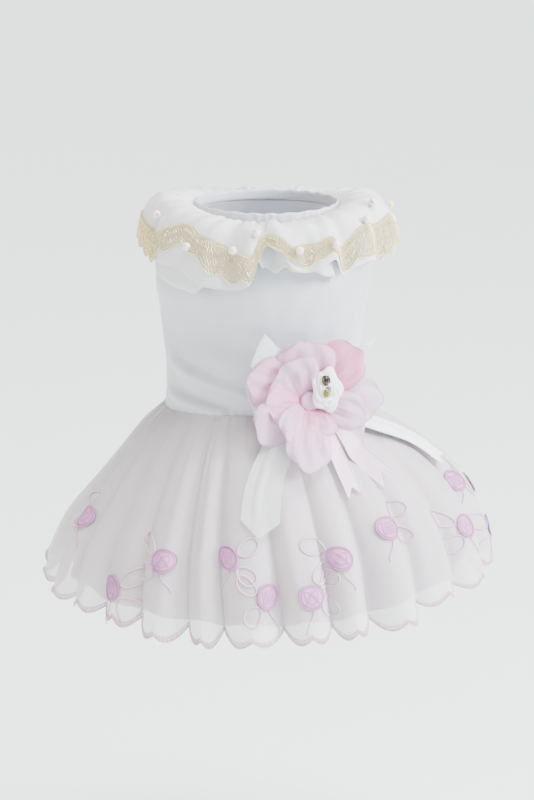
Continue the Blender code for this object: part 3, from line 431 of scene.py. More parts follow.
def overlay_point(place, down):
    """Gathered overlay: an arch, one less a power of the distance from the crest, between two valleys,
    with small gathers that fade below the waist and scallops that drop the last tenth of the length."""
    sizes = bpy.context.scene.dress_sizes
    place = place % FOLD_COUNT
    number = np.clip(np.floor(place), 0, FOLD_COUNT - 1).astype(int)
    across = place - number
    crest = 0.5 + (column_of(FOLDS, 4)[number] - 0.5) * np.clip(down, 0.0, 1.0)
    bent = np.where(across < crest, 0.5 * across / crest, 0.5 + 0.5 * (across - crest) / (1.0 - crest))
    arch = 1.0 - np.abs(2.0 * bent - 1.0) ** 2.2
    height = column_of(FOLDS, 2)[number] * arch
    hang = HEM_DROP * column_of(FOLDS, 3)[number] * arch * down ** 3
    cycle = 2.0 * np.pi * place / FOLD_COUNT
    gathers = np.sin(71.0 * cycle + 2.6 * np.sin(5.0 * cycle)) + 0.4 * np.sin(113.0 * cycle + 3.0 * np.sin(7.0 * cycle))
    gathers = 0.6 * sizes.gather_depth * gathers * np.exp(-np.clip(down, 0.0, 1.0) / 0.24)
    swing = 2.2 * np.sin(4.0 * cycle) + 1.3 * np.sin(9.0 * cycle)
    creases = 0.0011 * np.sin(37.0 * cycle + swing + 2.5 * down) * down * (1.35 - down)
    inward = fold_depth(down) * (1.0 - height) - creases - gathers
    points = skirt_point(fold_angle(place, down), down, inward)
    scallop = sizes.scallop_depth * np.abs(np.sin(2.0 * np.pi * across))
    points[..., 2] -= hang + scallop * np.clip(down - 0.9, 0.0, 0.1) / 0.1
    return points


def overlay_normal(place, down):
    """Outward normal of the overlay from two short steps along it."""
    side = overlay_point(place + 0.004, down) - overlay_point(place - 0.004, down)
    below = overlay_point(place, down + 0.002) - overlay_point(place, down - 0.002)
    return unit(np.cross(below, side))


# Mesh making

def patch(points, wraps=False, finish=0, turned=False):
    """Quads of a grid, with one map in shares and one in metres along the middle row and column."""
    rows, columns = points.shape[:2]
    row = np.arange(rows - 1)[:, None]
    column = np.arange(columns if wraps else columns - 1)[None, :]
    right = (column + 1) % columns
    quads = np.stack(np.broadcast_arrays(row * columns + column, (row + 1) * columns + column,
                                         (row + 1) * columns + right, row * columns + right), -1)
    quads = quads.reshape(-1, 4)
    edge = np.concatenate([points, points[:, :1]], axis=1) if wraps else points
    across = np.linalg.norm(np.diff(edge[rows // 2], axis=0), axis=-1)
    along = np.linalg.norm(np.diff(points[:, columns // 2], axis=0), axis=-1)
    metres_u, metres_v = np.append(0.0, np.cumsum(across)), np.append(0.0, np.cumsum(along))
    column_share, row_share = np.broadcast_arrays(column, row)
    corner_columns = np.stack([column_share, column_share, column_share + 1, column_share + 1], -1).reshape(-1, 4)
    corner_rows = np.stack([row_share, row_share + 1, row_share + 1, row_share], -1).reshape(-1, 4)
    span = len(metres_u) - 1
    shares = np.stack([corner_columns / span, corner_rows / (rows - 1)], -1)
    metres = np.stack([metres_u[corner_columns], metres_v[corner_rows]], -1)
    if turned:
        quads, shares, metres = quads[:, ::-1], shares[:, ::-1], metres[:, ::-1]
    return points.reshape(-1, 3), quads, shares, metres, finish


def threads(paths, normals, radius, closed=False, finish=0, flat=1.0):
    """Many threads at once: a four-sided section, one radius to each side and a share of it up and down
    along the normal, carried along each path. Open threads get end caps."""
    paths = np.asarray(paths, float)
    count, length = paths.shape[:2]
    if closed:
        ahead = np.roll(paths, -1, axis=1) - np.roll(paths, 1, axis=1)
    else:
        ahead = np.gradient(paths, axis=1)
    side = unit(np.cross(unit(ahead), normals))
    up = unit(np.cross(side, unit(ahead)))
    radius = np.broadcast_to(np.asarray(radius, float), (count, length))[..., None]
    corners = np.stack([paths + side * radius, paths + up * radius * flat, paths - side * radius,
                        paths - up * radius * flat], axis=2)
    number = np.arange(count * length * 4).reshape(count, length, 4)
    here = number if closed else number[:, :-1]
    after = np.roll(number, -1, axis=1) if closed else number[:, 1:]
    quads = np.stack([here, after, np.roll(after, -1, axis=2), np.roll(here, -1, axis=2)], -1).reshape(-1, 4)
    shares = np.zeros((len(quads), 4, 2))
    step = np.linalg.norm(np.diff(paths, axis=1), axis=-1).mean()
    place = (quads // 4 % length).astype(float)
    shares[..., 1] = place / max(length - 1, 1)
    metres = np.stack([quads % 4 * radius.mean() * 1.5, place * step], -1)
    if not closed:
        caps = np.concatenate([number[:, 0], number[:, -1, ::-1]])
        quads = np.concatenate([quads, caps])
        shares = np.concatenate([shares, np.zeros((len(caps), 4, 2))])
        metres = np.concatenate([metres, np.zeros((len(caps), 4, 2))])
    return corners.reshape(-1, 3), quads, shares, metres, finish


def add_piece(name, patches, finishes, replaces=(), wall=0.0, merge=0.0, rounds=True, inward=True):
    """One object from patches, with a material for each finish, riding on the dress's only body."""
    offsets = np.cumsum([0] + [len(part[0]) for part in patches[:-1]])
    points = np.concatenate([part[0] for part in patches])
    quads = np.concatenate([part[1] + offset for part, offset in zip(patches, offsets)])
    mesh = bpy.data.meshes.new(name)
    mesh.from_pydata(points, [], quads)
    for label, index in (("share", 2), ("cloth", 3)):
        layer = mesh.uv_layers.new(name=label)
        layer.data.foreach_set("uv", np.concatenate([part[index].reshape(-1, 2) for part in patches]).ravel())
    kinds = np.concatenate([np.full(len(part[1]), part[4]) for part in patches])
    mesh.polygons.foreach_set("material_index", kinds.astype(np.int32))
    if merge:
        made = bmesh.new()
        made.from_mesh(mesh)
        bmesh.ops.remove_doubles(made, verts=made.verts, dist=merge)
        bmesh.ops.dissolve_degenerate(made, dist=merge * 0.1, edges=made.edges)
        made.to_mesh(mesh)
        made.free()
    if rounds:
        mesh.shade_smooth()
    mesh.update()
    piece = bpy.data.objects.new(name, mesh)
    bpy.context.scene.collection.objects.link(piece)
    for finish in finishes:
        mesh.materials.append(material_of(finish))
    if wall:
        thicken = piece.modifiers.new("wall", "SOLIDIFY")
        thicken.thickness = wall
        thicken.offset = -1.0 if inward else 1.0
        thicken.use_even_offset = False
    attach(piece, "root")
    if replaces:
        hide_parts(*replaces)
    return piece


def revolve(section, centre, axis, sides=24, finish=0):
    """Profile of radius and height turned round an axis through a centre."""
    axis = unit(np.asarray(axis, float))
    first = unit(np.cross(axis, (0.0, 0.0, 1.0) if abs(axis[2]) < 0.9 else (1.0, 0.0, 0.0)))
    second = np.cross(axis, first)
    turn = np.arange(sides) * 2.0 * np.pi / sides
    section = np.asarray(section, float)
    circle = np.cos(turn)[:, None] * first + np.sin(turn)[:, None] * second
    points = centre + section[:, :1, None] * circle[None] + section[:, 1:, None] * axis
    return patch(points, wraps=True, finish=finish, turned=True)


# Materials

def node_of(tree, kind, **settings):
    """A new node with its settings, and its inputs set or linked by name."""
    inputs = settings.pop("inputs", {})
    made = tree.nodes.new(kind)
    for key, value in settings.items():
        setattr(made, key, value)
    for key, value in inputs.items():
        if isinstance(value, bpy.types.NodeSocket):
            tree.links.new(value, made.inputs[key])
        else:
            made.inputs[key].default_value = value
    return made


def tinted(colour, share):
    """A colour made lighter (over 1) or darker (under 1)."""
    return tuple(min(1.0, value * share) for value in colour[:3]) + (1.0,)


def cloth_material(name, colour, roughness, sheen, pitch, weave_depth, crumple, vary=0.06, alpha=1.0,
                   throat=None, anisotropic=0.0, slub=0.0):
    """Woven cloth: crossed fine waves on the map in metres for the weave, soft noise for crumples and
    uneven colour, and, where a throat colour is given, a ramp along the piece from it to the colour."""
    material = bpy.data.materials.new(name)
    material.use_nodes = True
    tree = material.node_tree
    shader = tree.nodes["Principled BSDF"]
    place = node_of(tree, "ShaderNodeTexCoord")
    cloth = node_of(tree, "ShaderNodeUVMap", uv_map="cloth")
    parts = node_of(tree, "ShaderNodeSeparateXYZ", inputs={"Vector": cloth.outputs["UV"]})
    warp, weft = [node_of(tree, "ShaderNodeMath", operation="SINE", inputs={0: node_of(
        tree, "ShaderNodeMath", operation="MULTIPLY",
        inputs={0: parts.outputs[axis], 1: 2.0 * math.pi / pitch}).outputs[0]}).outputs[0] for axis in ("X", "Y")]
    weave = node_of(tree, "ShaderNodeMath", operation="MULTIPLY", inputs={0: warp, 1: weft}).outputs[0]
    cloud = node_of(tree, "ShaderNodeTexNoise", inputs={"Vector": place.outputs["Object"], "Scale": 38.0,
                                                        "Detail": 4.0, "Roughness": 0.55})
    fine = node_of(tree, "ShaderNodeTexNoise", inputs={"Vector": place.outputs["Object"], "Scale": 420.0,
                                                       "Detail": 3.0, "Roughness": 0.6})
    ramp = node_of(tree, "ShaderNodeValToRGB", inputs={"Fac": cloud.outputs["Fac"]})
    ramp.color_ramp.elements[0].position, ramp.color_ramp.elements[1].position = 0.3, 0.7
    ramp.color_ramp.elements[0].color = tinted(colour, 1.0 - vary)
    ramp.color_ramp.elements[1].color = tinted(colour, 1.0 + 0.6 * vary)
    shown = ramp.outputs["Color"]
    if throat is not None:
        share = node_of(tree, "ShaderNodeUVMap", uv_map="share")
        along = node_of(tree, "ShaderNodeSeparateXYZ", inputs={"Vector": share.outputs["UV"]})
        mixed = node_of(tree, "ShaderNodeMath", operation="MULTIPLY_ADD", inputs={
            0: cloud.outputs["Fac"], 1: 0.35, 2: along.outputs["Y"]})
        fade = node_of(tree, "ShaderNodeValToRGB", inputs={"Fac": mixed.outputs[0]})
        fade.color_ramp.elements[0].position, fade.color_ramp.elements[1].position = 0.28, 0.95
        fade.color_ramp.elements[0].color, fade.color_ramp.elements[1].color = (1, 1, 1, 1), (0, 0, 0, 1)
        blend = node_of(tree, "ShaderNodeMix", data_type="RGBA", inputs={0: fade.outputs["Color"]})
        tree.links.new(shown, blend.inputs["A"])
        blend.inputs["B"].default_value = tinted(throat, 1.0)
        shown = blend.outputs["Result"]
    tree.links.new(shown, shader.inputs["Base Color"])
    rough = node_of(tree, "ShaderNodeMapRange", inputs={"Value": fine.outputs["Fac"], "To Min": roughness - 0.05,
                                                        "To Max": roughness + 0.07})
    tree.links.new(rough.outputs["Result"], shader.inputs["Roughness"])
    wrinkle = node_of(tree, "ShaderNodeBump", inputs={"Height": cloud.outputs["Fac"], "Strength": 0.5,
                                                      "Distance": crumple})
    woven = node_of(tree, "ShaderNodeBump", inputs={"Height": weave, "Strength": 0.6, "Distance": weave_depth,
                                                    "Normal": wrinkle.outputs["Normal"]})
    if slub:
        woven = node_of(tree, "ShaderNodeBump", inputs={"Height": fine.outputs["Fac"], "Strength": 0.5,
                                                        "Distance": slub, "Normal": woven.outputs["Normal"]})
    tree.links.new(woven.outputs["Normal"], shader.inputs["Normal"])
    shader.inputs["Sheen Weight"].default_value = sheen
    shader.inputs["Sheen Roughness"].default_value = 0.35
    shader.inputs["Anisotropic"].default_value = anisotropic
    shader.inputs["Alpha"].default_value = alpha
    shader.inputs["Specular IOR Level"].default_value = 0.45
    return material


def hard_material(name, colour, roughness, metallic=0.0, coat=0.0, vary=0.05, scale=600.0):
    """Bead, metal or cut glass: slightly uneven colour and roughness from fine noise."""
    material = bpy.data.materials.new(name)
    material.use_nodes = True
    tree = material.node_tree
    shader = tree.nodes["Principled BSDF"]
    place = node_of(tree, "ShaderNodeTexCoord")
    grain = node_of(tree, "ShaderNodeTexNoise", inputs={"Vector": place.outputs["Object"], "Scale": scale,
                                                        "Detail": 3.0})
    ramp = node_of(tree, "ShaderNodeValToRGB", inputs={"Fac": grain.outputs["Fac"]})
    ramp.color_ramp.elements[0].color = tinted(colour, 1.0 - vary)
    ramp.color_ramp.elements[1].color = tinted(colour, 1.0 + vary)
    tree.links.new(ramp.outputs["Color"], shader.inputs["Base Color"])
    rough = node_of(tree, "ShaderNodeMapRange", inputs={"Value": grain.outputs["Fac"], "To Min": roughness * 0.8,
                                                        "To Max": roughness * 1.2 + 0.02})
    tree.links.new(rough.outputs["Result"], shader.inputs["Roughness"])
    shader.inputs["Metallic"].default_value = metallic
    shader.inputs["Coat Weight"].default_value = coat
    shader.inputs["Coat Roughness"].default_value = 0.08
    return material


def material_of(finish):
    """The finish's material, made on first use from the panel's colours."""
    name = "dress_" + finish
    found = bpy.data.materials.get(name)
    if found:
        return found
    colours = bpy.context.scene.dress_colours
    pink, lilac = tuple(colours.pink), tuple(colours.lilac)
    deep = tuple(colours.deep_pink)
    recipes = {
        "satin": lambda: cloth_material(name, colours.satin, 0.30, 0.15, 0.00045, 0.00004, 0.0022, 0.03),
        "band_satin": lambda: cloth_material(name, colours.satin, 0.42, 0.25, 0.00045, 0.00004, 0.0008, 0.03),
        "ruffle_organza": lambda: cloth_material(name, colours.ruffle, 0.48, 0.30, 0.0006, 0.00006, 0.0012, 0.03),
        "lining_satin": lambda: cloth_material(name, colours.lining, 0.42, 0.20, 0.00045, 0.00004, 0.0010, 0.04),
        "sheer_overlay": lambda: cloth_material(name, colours.overlay, 0.55, 0.35, 0.0005, 0.00005, 0.0008, 0.03,
                                                alpha=colours.overlay_opacity),
        "sheer_white": lambda: cloth_material(name, colours.ribbon, 0.45, 0.30, 0.0005, 0.00005, 0.0008, 0.03,
                                              alpha=0.42),
        "ribbon_satin": lambda: cloth_material(name, colours.ribbon, 0.34, 0.25, 0.0004, 0.00004, 0.0006, 0.03),
        "pink_satin": lambda: cloth_material(name, colours.pink_ribbon, 0.36, 0.25, 0.0004, 0.00004, 0.0006, 0.03),
        "pink_organza": lambda: cloth_material(name, pink, 0.50, 0.35, 0.0005, 0.00006, 0.0010, 0.05, alpha=0.64,
                                               throat=deep),
        "pale_pink_organza": lambda: cloth_material(name, colours.pale_pink, 0.50, 0.35, 0.0005, 0.00006, 0.0010,
                                                    0.05, alpha=0.52, throat=pink),
        "deep_pink_organza": lambda: cloth_material(name, deep, 0.50, 0.35, 0.0005, 0.00006, 0.0010, 0.06,
                                                    alpha=0.86, throat=tinted(deep, 0.9)),
        "core_organza": lambda: cloth_material(name, pink, 0.55, 0.30, 0.0005, 0.00006, 0.0010, 0.10),
        "lilac_stitch": lambda: cloth_material(name, lilac, 0.45, 0.20, 0.0007, 0.00015, 0.0004, 0.10),
        "lilac_edge": lambda: cloth_material(name, tinted(lilac, 0.80), 0.45, 0.20, 0.0007, 0.00015, 0.0003, 0.12),
        "border_thread": lambda: cloth_material(name, colours.border, 0.45, 0.20, 0.0008, 0.00012, 0.0003, 0.14),
        "motif_thread": lambda: cloth_material(name, colours.motif, 0.45, 0.20, 0.0008, 0.00010, 0.0003, 0.10),
        "lace_thread": lambda: hard_material(name, colours.lace, 0.38, metallic=0.35, vary=0.22, scale=900.0),
        "gold": lambda: hard_material(name, colours.gold, 0.25, metallic=0.9, vary=0.10),
        "pearl": lambda: hard_material(name, colours.pearl, 0.16, coat=0.6, vary=0.03, scale=300.0),
        "dark_crystal": lambda: hard_material(name, (0.020, 0.014, 0.010), 0.04, coat=1.0, vary=0.2),
        "green_crystal": lambda: hard_material(name, (0.12, 0.14, 0.01), 0.05, coat=1.0, vary=0.2),
    }
    return recipes[finish]()


# Settings

def colour_setting(label, description, value):
    """A colour that the user may change."""
    return bpy.props.FloatVectorProperty(name=label, description=description, default=value, size=3,
                                         subtype="COLOR", min=0.0, max=1.0)


def length_setting(label, description, value):
    """A length in metres that the user may change."""
    return bpy.props.FloatProperty(name=label, description=description, default=value, min=0.0, max=0.1,
                                   unit="LENGTH", precision=4)


class DressSizes(bpy.types.PropertyGroup):
    """Depths of the folds and the sizes of the trim."""

    drape_height: length_setting("Drape folds", "Height of the soft folds in the bodice's satin", 0.0034)
    fold_depth: length_setting("Skirt folds", "Depth of the skirt's folds at the hem", 0.0145)
    gather_depth: length_setting("Waist gathers", "Depth of the small gathers below the waist", 0.0008)
    scallop_depth: length_setting("Scallops", "Depth of the scallops along the hem", 0.0045)
    lace_thread: length_setting("Lace thread", "Half the thickness of the lace's thread", 0.00018)
    pearl_diameter: length_setting("Pearls", "Diameter of the sewn pearls", 0.005)
    dot_diameter: length_setting("Dots", "Diameter of the embroidered dots", 0.0148)


class DressColours(bpy.types.PropertyGroup):
    """Colours of the cloth, threads and beads."""

    satin: colour_setting("Satin", "Bodice and neck band", (0.57, 0.58, 0.645))
    ruffle: colour_setting("Ruffle", "Collar ruffle", (0.70, 0.71, 0.73))
    lining: colour_setting("Lining", "Skirt lining", (0.60, 0.51, 0.51))
    overlay: colour_setting("Overlay", "Sheer skirt", (0.76, 0.71, 0.76))
    overlay_opacity: bpy.props.FloatProperty(name="Overlay opacity", description="How much one wall of the sheer "
                                             "skirt hides", default=0.44, min=0.1, max=1.0, subtype="FACTOR")
    ribbon: colour_setting("White ribbon", "White bow and tails", (0.88, 0.90, 0.93))
    pink_ribbon: colour_setting("Pink ribbon", "Pink swallow-tails", (0.98, 0.72, 0.90))
    pink: colour_setting("Pink", "Upper petals", (0.84, 0.47, 0.68))
    pale_pink: colour_setting("Pale pink", "Lower petals", (0.80, 0.58, 0.77))
    deep_pink: colour_setting("Deep pink", "Dark petal and throat of the flower", (0.80, 0.30, 0.50))
    lilac: colour_setting("Lilac", "Embroidered dots", (0.60, 0.27, 0.55))
    border: colour_setting("Hem border", "Stitched border of the scallops", (0.74, 0.54, 0.68))
    motif: colour_setting("Petal loops", "Stitched loops and stems", (0.74, 0.48, 0.66))
    lace: colour_setting("Lace", "Metallic lace thread", (0.74, 0.62, 0.32))
    gold: colour_setting("Gold", "Caps of the pearls", (0.80, 0.64, 0.36))
    pearl: colour_setting("Pearl", "Sewn pearls", (0.86, 0.82, 0.72))
    backdrop: colour_setting("Floor", "Floor", (0.82, 0.91, 0.885))


# Bodice

LEG_HOLES = [
    # angle, half_angle, down, half_down
    (144.7, 20.5, 0.402, 0.177),
    (215.3, 20.5, 0.402, 0.177),
]


def bodice_surface(angle, down):
    """Bodice with its drape folds, small soft ripples and puckers along the waist seam."""
    turn = np.radians(angle)
    soft = 0.00045 * ripple(5.0 * np.sin(turn) + 9.0, 4.0 * down, 3) * np.sin(np.pi * np.clip(down, 0.0, 1.0))
    pucker = 0.0004 * np.sin(70.0 * turn + 3.0 * np.sin(7.0 * turn)) * np.exp(-((down - 1.0) / 0.045) ** 2)
    return bodice_point(angle, down, soft + pucker)


class DRESS_OT_bodice(bpy.types.Operator):
    """Make the satin bodice with its leg holes and their rolled edges"""

    bl_idname = "dress.bodice"
    bl_label = "Bodice"

    def execute(self, context):
        down, angle = ring(112, 252)
        away = []
        for centre, half, middle, half_down in LEG_HOLES:
            across, along = (angle - centre) / half, (down - middle) / half_down
            away.append(np.hypot(across, along))
        inside = np.minimum(*away) < 1.0
        for far, (centre, half, middle, half_down) in zip(away, LEG_HOLES):
            near = np.maximum(far, 1e-6)
            angle = np.where(far < 1.0, centre + (angle - centre) / near, angle)
            down = np.where(far < 1.0, middle + (down - middle) / near, down)
        points, quads, shares, metres, finish = patch(bodice_surface(angle, down), wraps=True)
        kept = ~inside.ravel()[quads].all(axis=1)
        cloth = (points, quads[kept], shares[kept], metres[kept], finish)
        bodice = add_piece("satin_bodice", [cloth], ["satin"], ["bodice"], wall=SATIN)
        drop_loose_points(bodice.data)
        turn = np.linspace(0.0, 2.0 * np.pi, 72, endpoint=False)
        paths, normals = [], []
        for centre, half, middle, half_down in LEG_HOLES:
            rim_angle, rim_down = centre + half * np.cos(turn), middle + half_down * np.sin(turn)
            rim = bodice_surface(rim_angle, rim_down)
            ahead = np.roll(rim, -1, axis=0) - np.roll(rim, 1, axis=0)
            outward = rim * (1.0, 1.0, 0.0)
            paths.append(rim - 0.5 * SATIN * unit(outward))
            normals.append(unit(outward - unit(ahead) * (outward * unit(ahead)).sum(-1, keepdims=True)))
        hem = round_tube(np.array(paths), np.array(normals), 0.0011 + 0.00012 * np.sin(24.0 * turn))
        add_piece("leg_hole_hems", [hem], ["band_satin"])
        return {"FINISHED"}


def drop_loose_points(mesh):
    """Take out the points that no face uses."""
    made = bmesh.new()
    made.from_mesh(mesh)
    bmesh.ops.delete(made, geom=[point for point in made.verts if not point.link_faces], context="VERTS")
    made.to_mesh(mesh)
    made.free()


def round_tube(paths, normals, radius, sides=10, closed=True, finish=0):
    """Round section of a radius carried along each path, closed on itself or capped by shrinking ends."""
    if closed:
        ahead = np.roll(paths, -1, axis=1) - np.roll(paths, 1, axis=1)
    else:
        ahead = np.gradient(paths, axis=1)
    side = unit(np.cross(unit(ahead), normals))
    up = unit(np.cross(side, unit(ahead)))
    count, length = paths.shape[:2]
    radius = np.broadcast_to(np.asarray(radius, float), (count, length)).copy()
    if not closed:
        radius[:, [0, -1]] *= 0.02
    turn = np.arange(sides) * 2.0 * np.pi / sides
    circle = np.cos(turn)[:, None] * side[:, :, None] + np.sin(turn)[:, None] * up[:, :, None]
    points = paths[:, :, None] + radius[..., None, None] * circle
    parts = []
    for tube in points:
        grid_points = np.concatenate([tube, tube[:1]]) if closed else tube
        parts.append(patch(grid_points, wraps=True, finish=finish))
    offsets = np.cumsum([0] + [len(part[0]) for part in parts[:-1]])
    return (np.concatenate([part[0] for part in parts]),
            np.concatenate([part[1] + offset for part, offset in zip(parts, offsets)]),
            np.concatenate([part[2] for part in parts]), np.concatenate([part[3] for part in parts]), finish)


class DRESS_OT_neck_band(bpy.types.Operator):
    """Make the puckered satin band round the neck opening"""

    bl_idname = "dress.neck_band"
    bl_label = "Neck band"

    def execute(self, context):
        angle = np.arange(384) * 360.0 / 384
        turn = np.radians(angle)
        pucker = 0.5 + 0.5 * np.sin(46.0 * turn + 2.2 * np.sin(9.0 * turn))
        section = [(1.0, -1.0), (1.10, -0.72), (1.12, -0.45), (1.0, -0.2), (0.78, -0.04), (0.5, 0.02),
                   (0.22, -0.05), (0.02, -0.2), (-0.04, -0.45), (0.0, -0.72), (0.0, -1.0), (0.5, -1.02)]
        rows = []
        for out, level in section + section[:1]:
            swell = 2.0 * BAND_WALL * (out - 0.22 * pucker * np.clip(out, 0.0, 1.0))
            x, y = oval(angle, NECK_WIDTH + swell, NECK_DEPTH + swell)
            lift = 0.0003 * np.sin(23.0 * turn + np.sin(5.0 * turn)) * (level > -0.6)
            rows.append(np.stack([x, y, neck_level(angle) + BAND_HEIGHT * level + lift], axis=-1))
        band = patch(np.array(rows), wraps=True, turned=True)
        add_piece("satin_neck_band", [band], ["band_satin"], ["neck_band"], merge=0.000001)
        return {"FINISHED"}


# Collar

class DRESS_OT_collar(bpy.types.Operator):
    """Make the collar's ruffle and the shorter layer below it"""

    bl_idname = "dress.collar"
    bl_label = "Collar"

    def execute(self, context):
        out, angle = ring(44, 576)
        ruffle = add_piece("collar_top_ruffle", [patch(ruffle_point(angle, out), wraps=True)],
                           ["ruffle_organza"], ["collar_ruffle"], wall=0.0006)
        out, angle = ring(30, 432)
        start = seam_drop(angle, out) + ORGANZA + 3.0 * GAP
        drop = read(PEEK, 1, (angle + 90.0) % 360.0 - 90.0, 360.0)
        wavy = 0.0012 * np.sin(np.radians(angle) * 21.0 + 2.0 * np.sin(np.radians(angle) * 4.0))
        points = collar_point(angle, 0.97 * out, start, UNDERLAYER_SHORTER + wavy * out ** 2, 0.55, drop)
        under = add_piece("collar_lower_ruffle", [patch(points, wraps=True)], ["ruffle_organza"],
                          ["collar_underlayer"], wall=0.0006)
        return {"FINISHED"}


LACE_EDGES = [
    # angle, inner, outer
    (-180.0, 0.80, 1.05), (-90.0, 0.76, 1.05), (-62.0, 0.74, 1.04), (-52.0, 0.62, 0.88), (-42.0, 0.56, 0.78),
    (-33.0, 0.60, 0.82), (-25.0, 0.62, 0.90), (-17.0, 0.66, 0.94), (-8.0, 0.76, 0.98), (0.0, 0.76, 1.00),
    (9.0, 0.72, 0.92), (18.0, 0.72, 0.95), (27.0, 0.70, 0.90), (37.0, 0.74, 0.96), (50.0, 0.64, 0.96),
    (68.0, 0.66, 1.04), (100.0, 0.76, 1.05), (140.0, 0.80, 1.05),
]
LACE_NETS = 264
LACE_SCALLOPS = 33


def lace_place(round_share, across, lift):
    """Place on the lace: a share round the collar and a share across it from its inner to its outer edge,
    which runs on past the ruffle's edge, lifted along the ruffle's normal."""
    angle = 360.0 * round_share
    inner, outer = (read(LACE_EDGES, index, angle, 360.0) for index in (1, 2))
    out = inner + (outer - inner) * across
    held = np.clip(out, 0.0, 1.0)
    points = ruffle_point(angle, held)
    step = ruffle_point(angle, held) - ruffle_point(angle, held - 0.02)
    points = points + step * ((out - held) / 0.02)[..., None]
    normal = ruffle_normal(angle, held)
    return points + normal * lift, normal


class DRESS_OT_lace(bpy.types.Operator):
    """Make the net lace along the ruffle's edge from its own threads"""

    bl_idname = "dress.lace"
    bl_label = "Lace"

    def execute(self, context):
        radius = context.scene.dress_sizes.lace_thread
        count = LACE_NETS
        cell = 1.0 / count
        start = np.arange(count) * cell
        along = np.linspace(0.0, 1.0, 13)
        parts = []
        for sense in (-1.0, 1.0):
            share = start[:, None] + sense * 3.0 * cell * along + 0.25 * cell * np.sin(6.0 * np.pi * along)
            edge = 0.70 + 0.28 * self.scallop(share)
            points, normals = lace_place(share, 0.04 + (edge - 0.04) * along, GAP + radius + 0.00008 * sense)
            parts.append(threads(points, normals, radius))
        turn = np.linspace(0.0, 1.0, count * 6, endpoint=False)[None]
        for level, size, wave in ((0.03, 1.4, 0.0), (0.14, 1.0, 0.04), (0.58, 1.3, 0.28), (0.71, 1.8, 0.28)):
            points, normals = lace_place(turn, level + wave * self.scallop(turn), GAP + 1.6 * radius)
            parts.append(threads(points, normals, size * radius, closed=True))
        motif = (np.arange(2 * LACE_SCALLOPS) + 0.5) / (2 * LACE_SCALLOPS)
        circle = np.linspace(0.0, 2.0 * np.pi, 60, endpoint=False)
        petals = 1.0 + 0.45 * np.cos(5.0 * circle)
        share = motif[:, None] + 1.1 * cell * petals * np.cos(circle)
        points, normals = lace_place(share, np.broadcast_to(0.42 + 0.20 * petals * np.sin(circle), share.shape),
                                     GAP + 2.2 * radius)
        parts.append(threads(points, normals, 1.25 * radius, closed=True))
        lace = add_piece("collar_net_lace", parts, ["lace_thread"], ["collar_lace"])
        lace.data.shade_flat()
        return {"FINISHED"}

    def scallop(self, share):
        """Outer edge of the lace, from 0 between two scallops to 1 at the middle of one."""
        return np.sqrt(np.abs(np.sin(np.pi * share * LACE_SCALLOPS)))


class DRESS_OT_pearls(bpy.types.Operator):
    """Make the pearls with their gold caps"""

    bl_idname = "dress.pearls"
    bl_label = "Pearls"

    def execute(self, context):
        radius = 0.5 * context.scene.dress_sizes.pearl_diameter
        turn = np.linspace(0.0, np.pi, 21)
        ball = np.stack([radius * np.sin(turn), -radius * np.cos(turn)], axis=-1)
        cap = np.array([(0.00, 0.99), (0.14, 1.02), (0.26, 1.00), (0.34, 0.95), (0.36, 0.91), (0.30, 0.89),
                        (0.0, 0.90)]) * radius * 1.02
        for index, spot in enumerate(PEARLS):
            node = "pearl_%02d" % (index + 1)
            angle, out = (np.array([value]) for value in spot)
            base = (ruffle_point(angle, out) + ruffle_normal(angle, out) * (radius + 0.0002))[0]
            axis = unit(np.array([-base[1], base[0], 0.0]) + (0.0, 0.0, 0.012 * (-1.0) ** index))
            parts = [revolve(ball, base, axis, 28), revolve(cap, base, axis, 20, 1), revolve(cap, base, -axis, 20, 1)]
            parts.append(picot_ring(base, axis, radius, 0.90, 6))
            parts.append(picot_ring(base, -axis, radius, 0.90, 6))
            add_piece("ivory_" + node, parts, ["pearl", "gold"], [node], merge=0.000004)
        return {"FINISHED"}


def picot_ring(centre, axis, radius, level, count):
    """Small gold grains in a ring on a ball: tiny balls where the cap ends."""
    first = unit(np.cross(axis, (0.0, 0.0, 1.0)))
    second = np.cross(axis, first)
    turn = np.arange(count) * 2.0 * np.pi / count
    away = math.sqrt(1.0 - level ** 2)
    spots = centre + radius * 1.02 * (level * axis + away * (np.cos(turn)[:, None] * first
                                                             + np.sin(turn)[:, None] * second))
    step = np.linspace(0.0, np.pi, 5)
    small = np.stack([np.sin(step), -np.cos(step)], axis=-1) * radius * 0.09
    parts = [revolve(small, spot, axis, 6, 1) for spot in spots]
    offsets = np.cumsum([0] + [len(part[0]) for part in parts[:-1]])
    return (np.concatenate([part[0] for part in parts]),
            np.concatenate([part[1] + offset for part, offset in zip(parts, offsets)]),
            np.concatenate([part[2] for part in parts]), np.concatenate([part[3] for part in parts]), 1)


# Skirt

class DRESS_OT_skirt_lining(bpy.types.Operator):
    """Make the satin lining of the skirt"""

    bl_idname = "dress.skirt_lining"
    bl_label = "Skirt lining"

    def execute(self, context):
        rows, angle = ring(60, 340)
        down = rows * LINING_LENGTH / SKIRT_LENGTH
        turn = np.radians(angle)
        inside = fold_depth(down) + GATHER_PUFF - GATHER_DEPTH + SATIN + 3.0 * GAP
        folds = 0.0022 * (np.sin(19.0 * turn + 1.6 * np.sin(3.0 * turn)) - 1.0) * down
        hem = skirt_point(angle, down, inside - folds)
        tuck = bodice_point(angle[:1], np.full(angle[:1].shape, 1.0 - LINING_TUCK / BODICE_LENGTH),
                            -(SATIN + 3.0 * GAP))
        lining = add_piece("skirt_satin_lining", [patch(np.concatenate([tuck, hem]), wraps=True)],
                           ["lining_satin"], ["skirt_lining"], wall=0.0006)
        return {"FINISHED"}


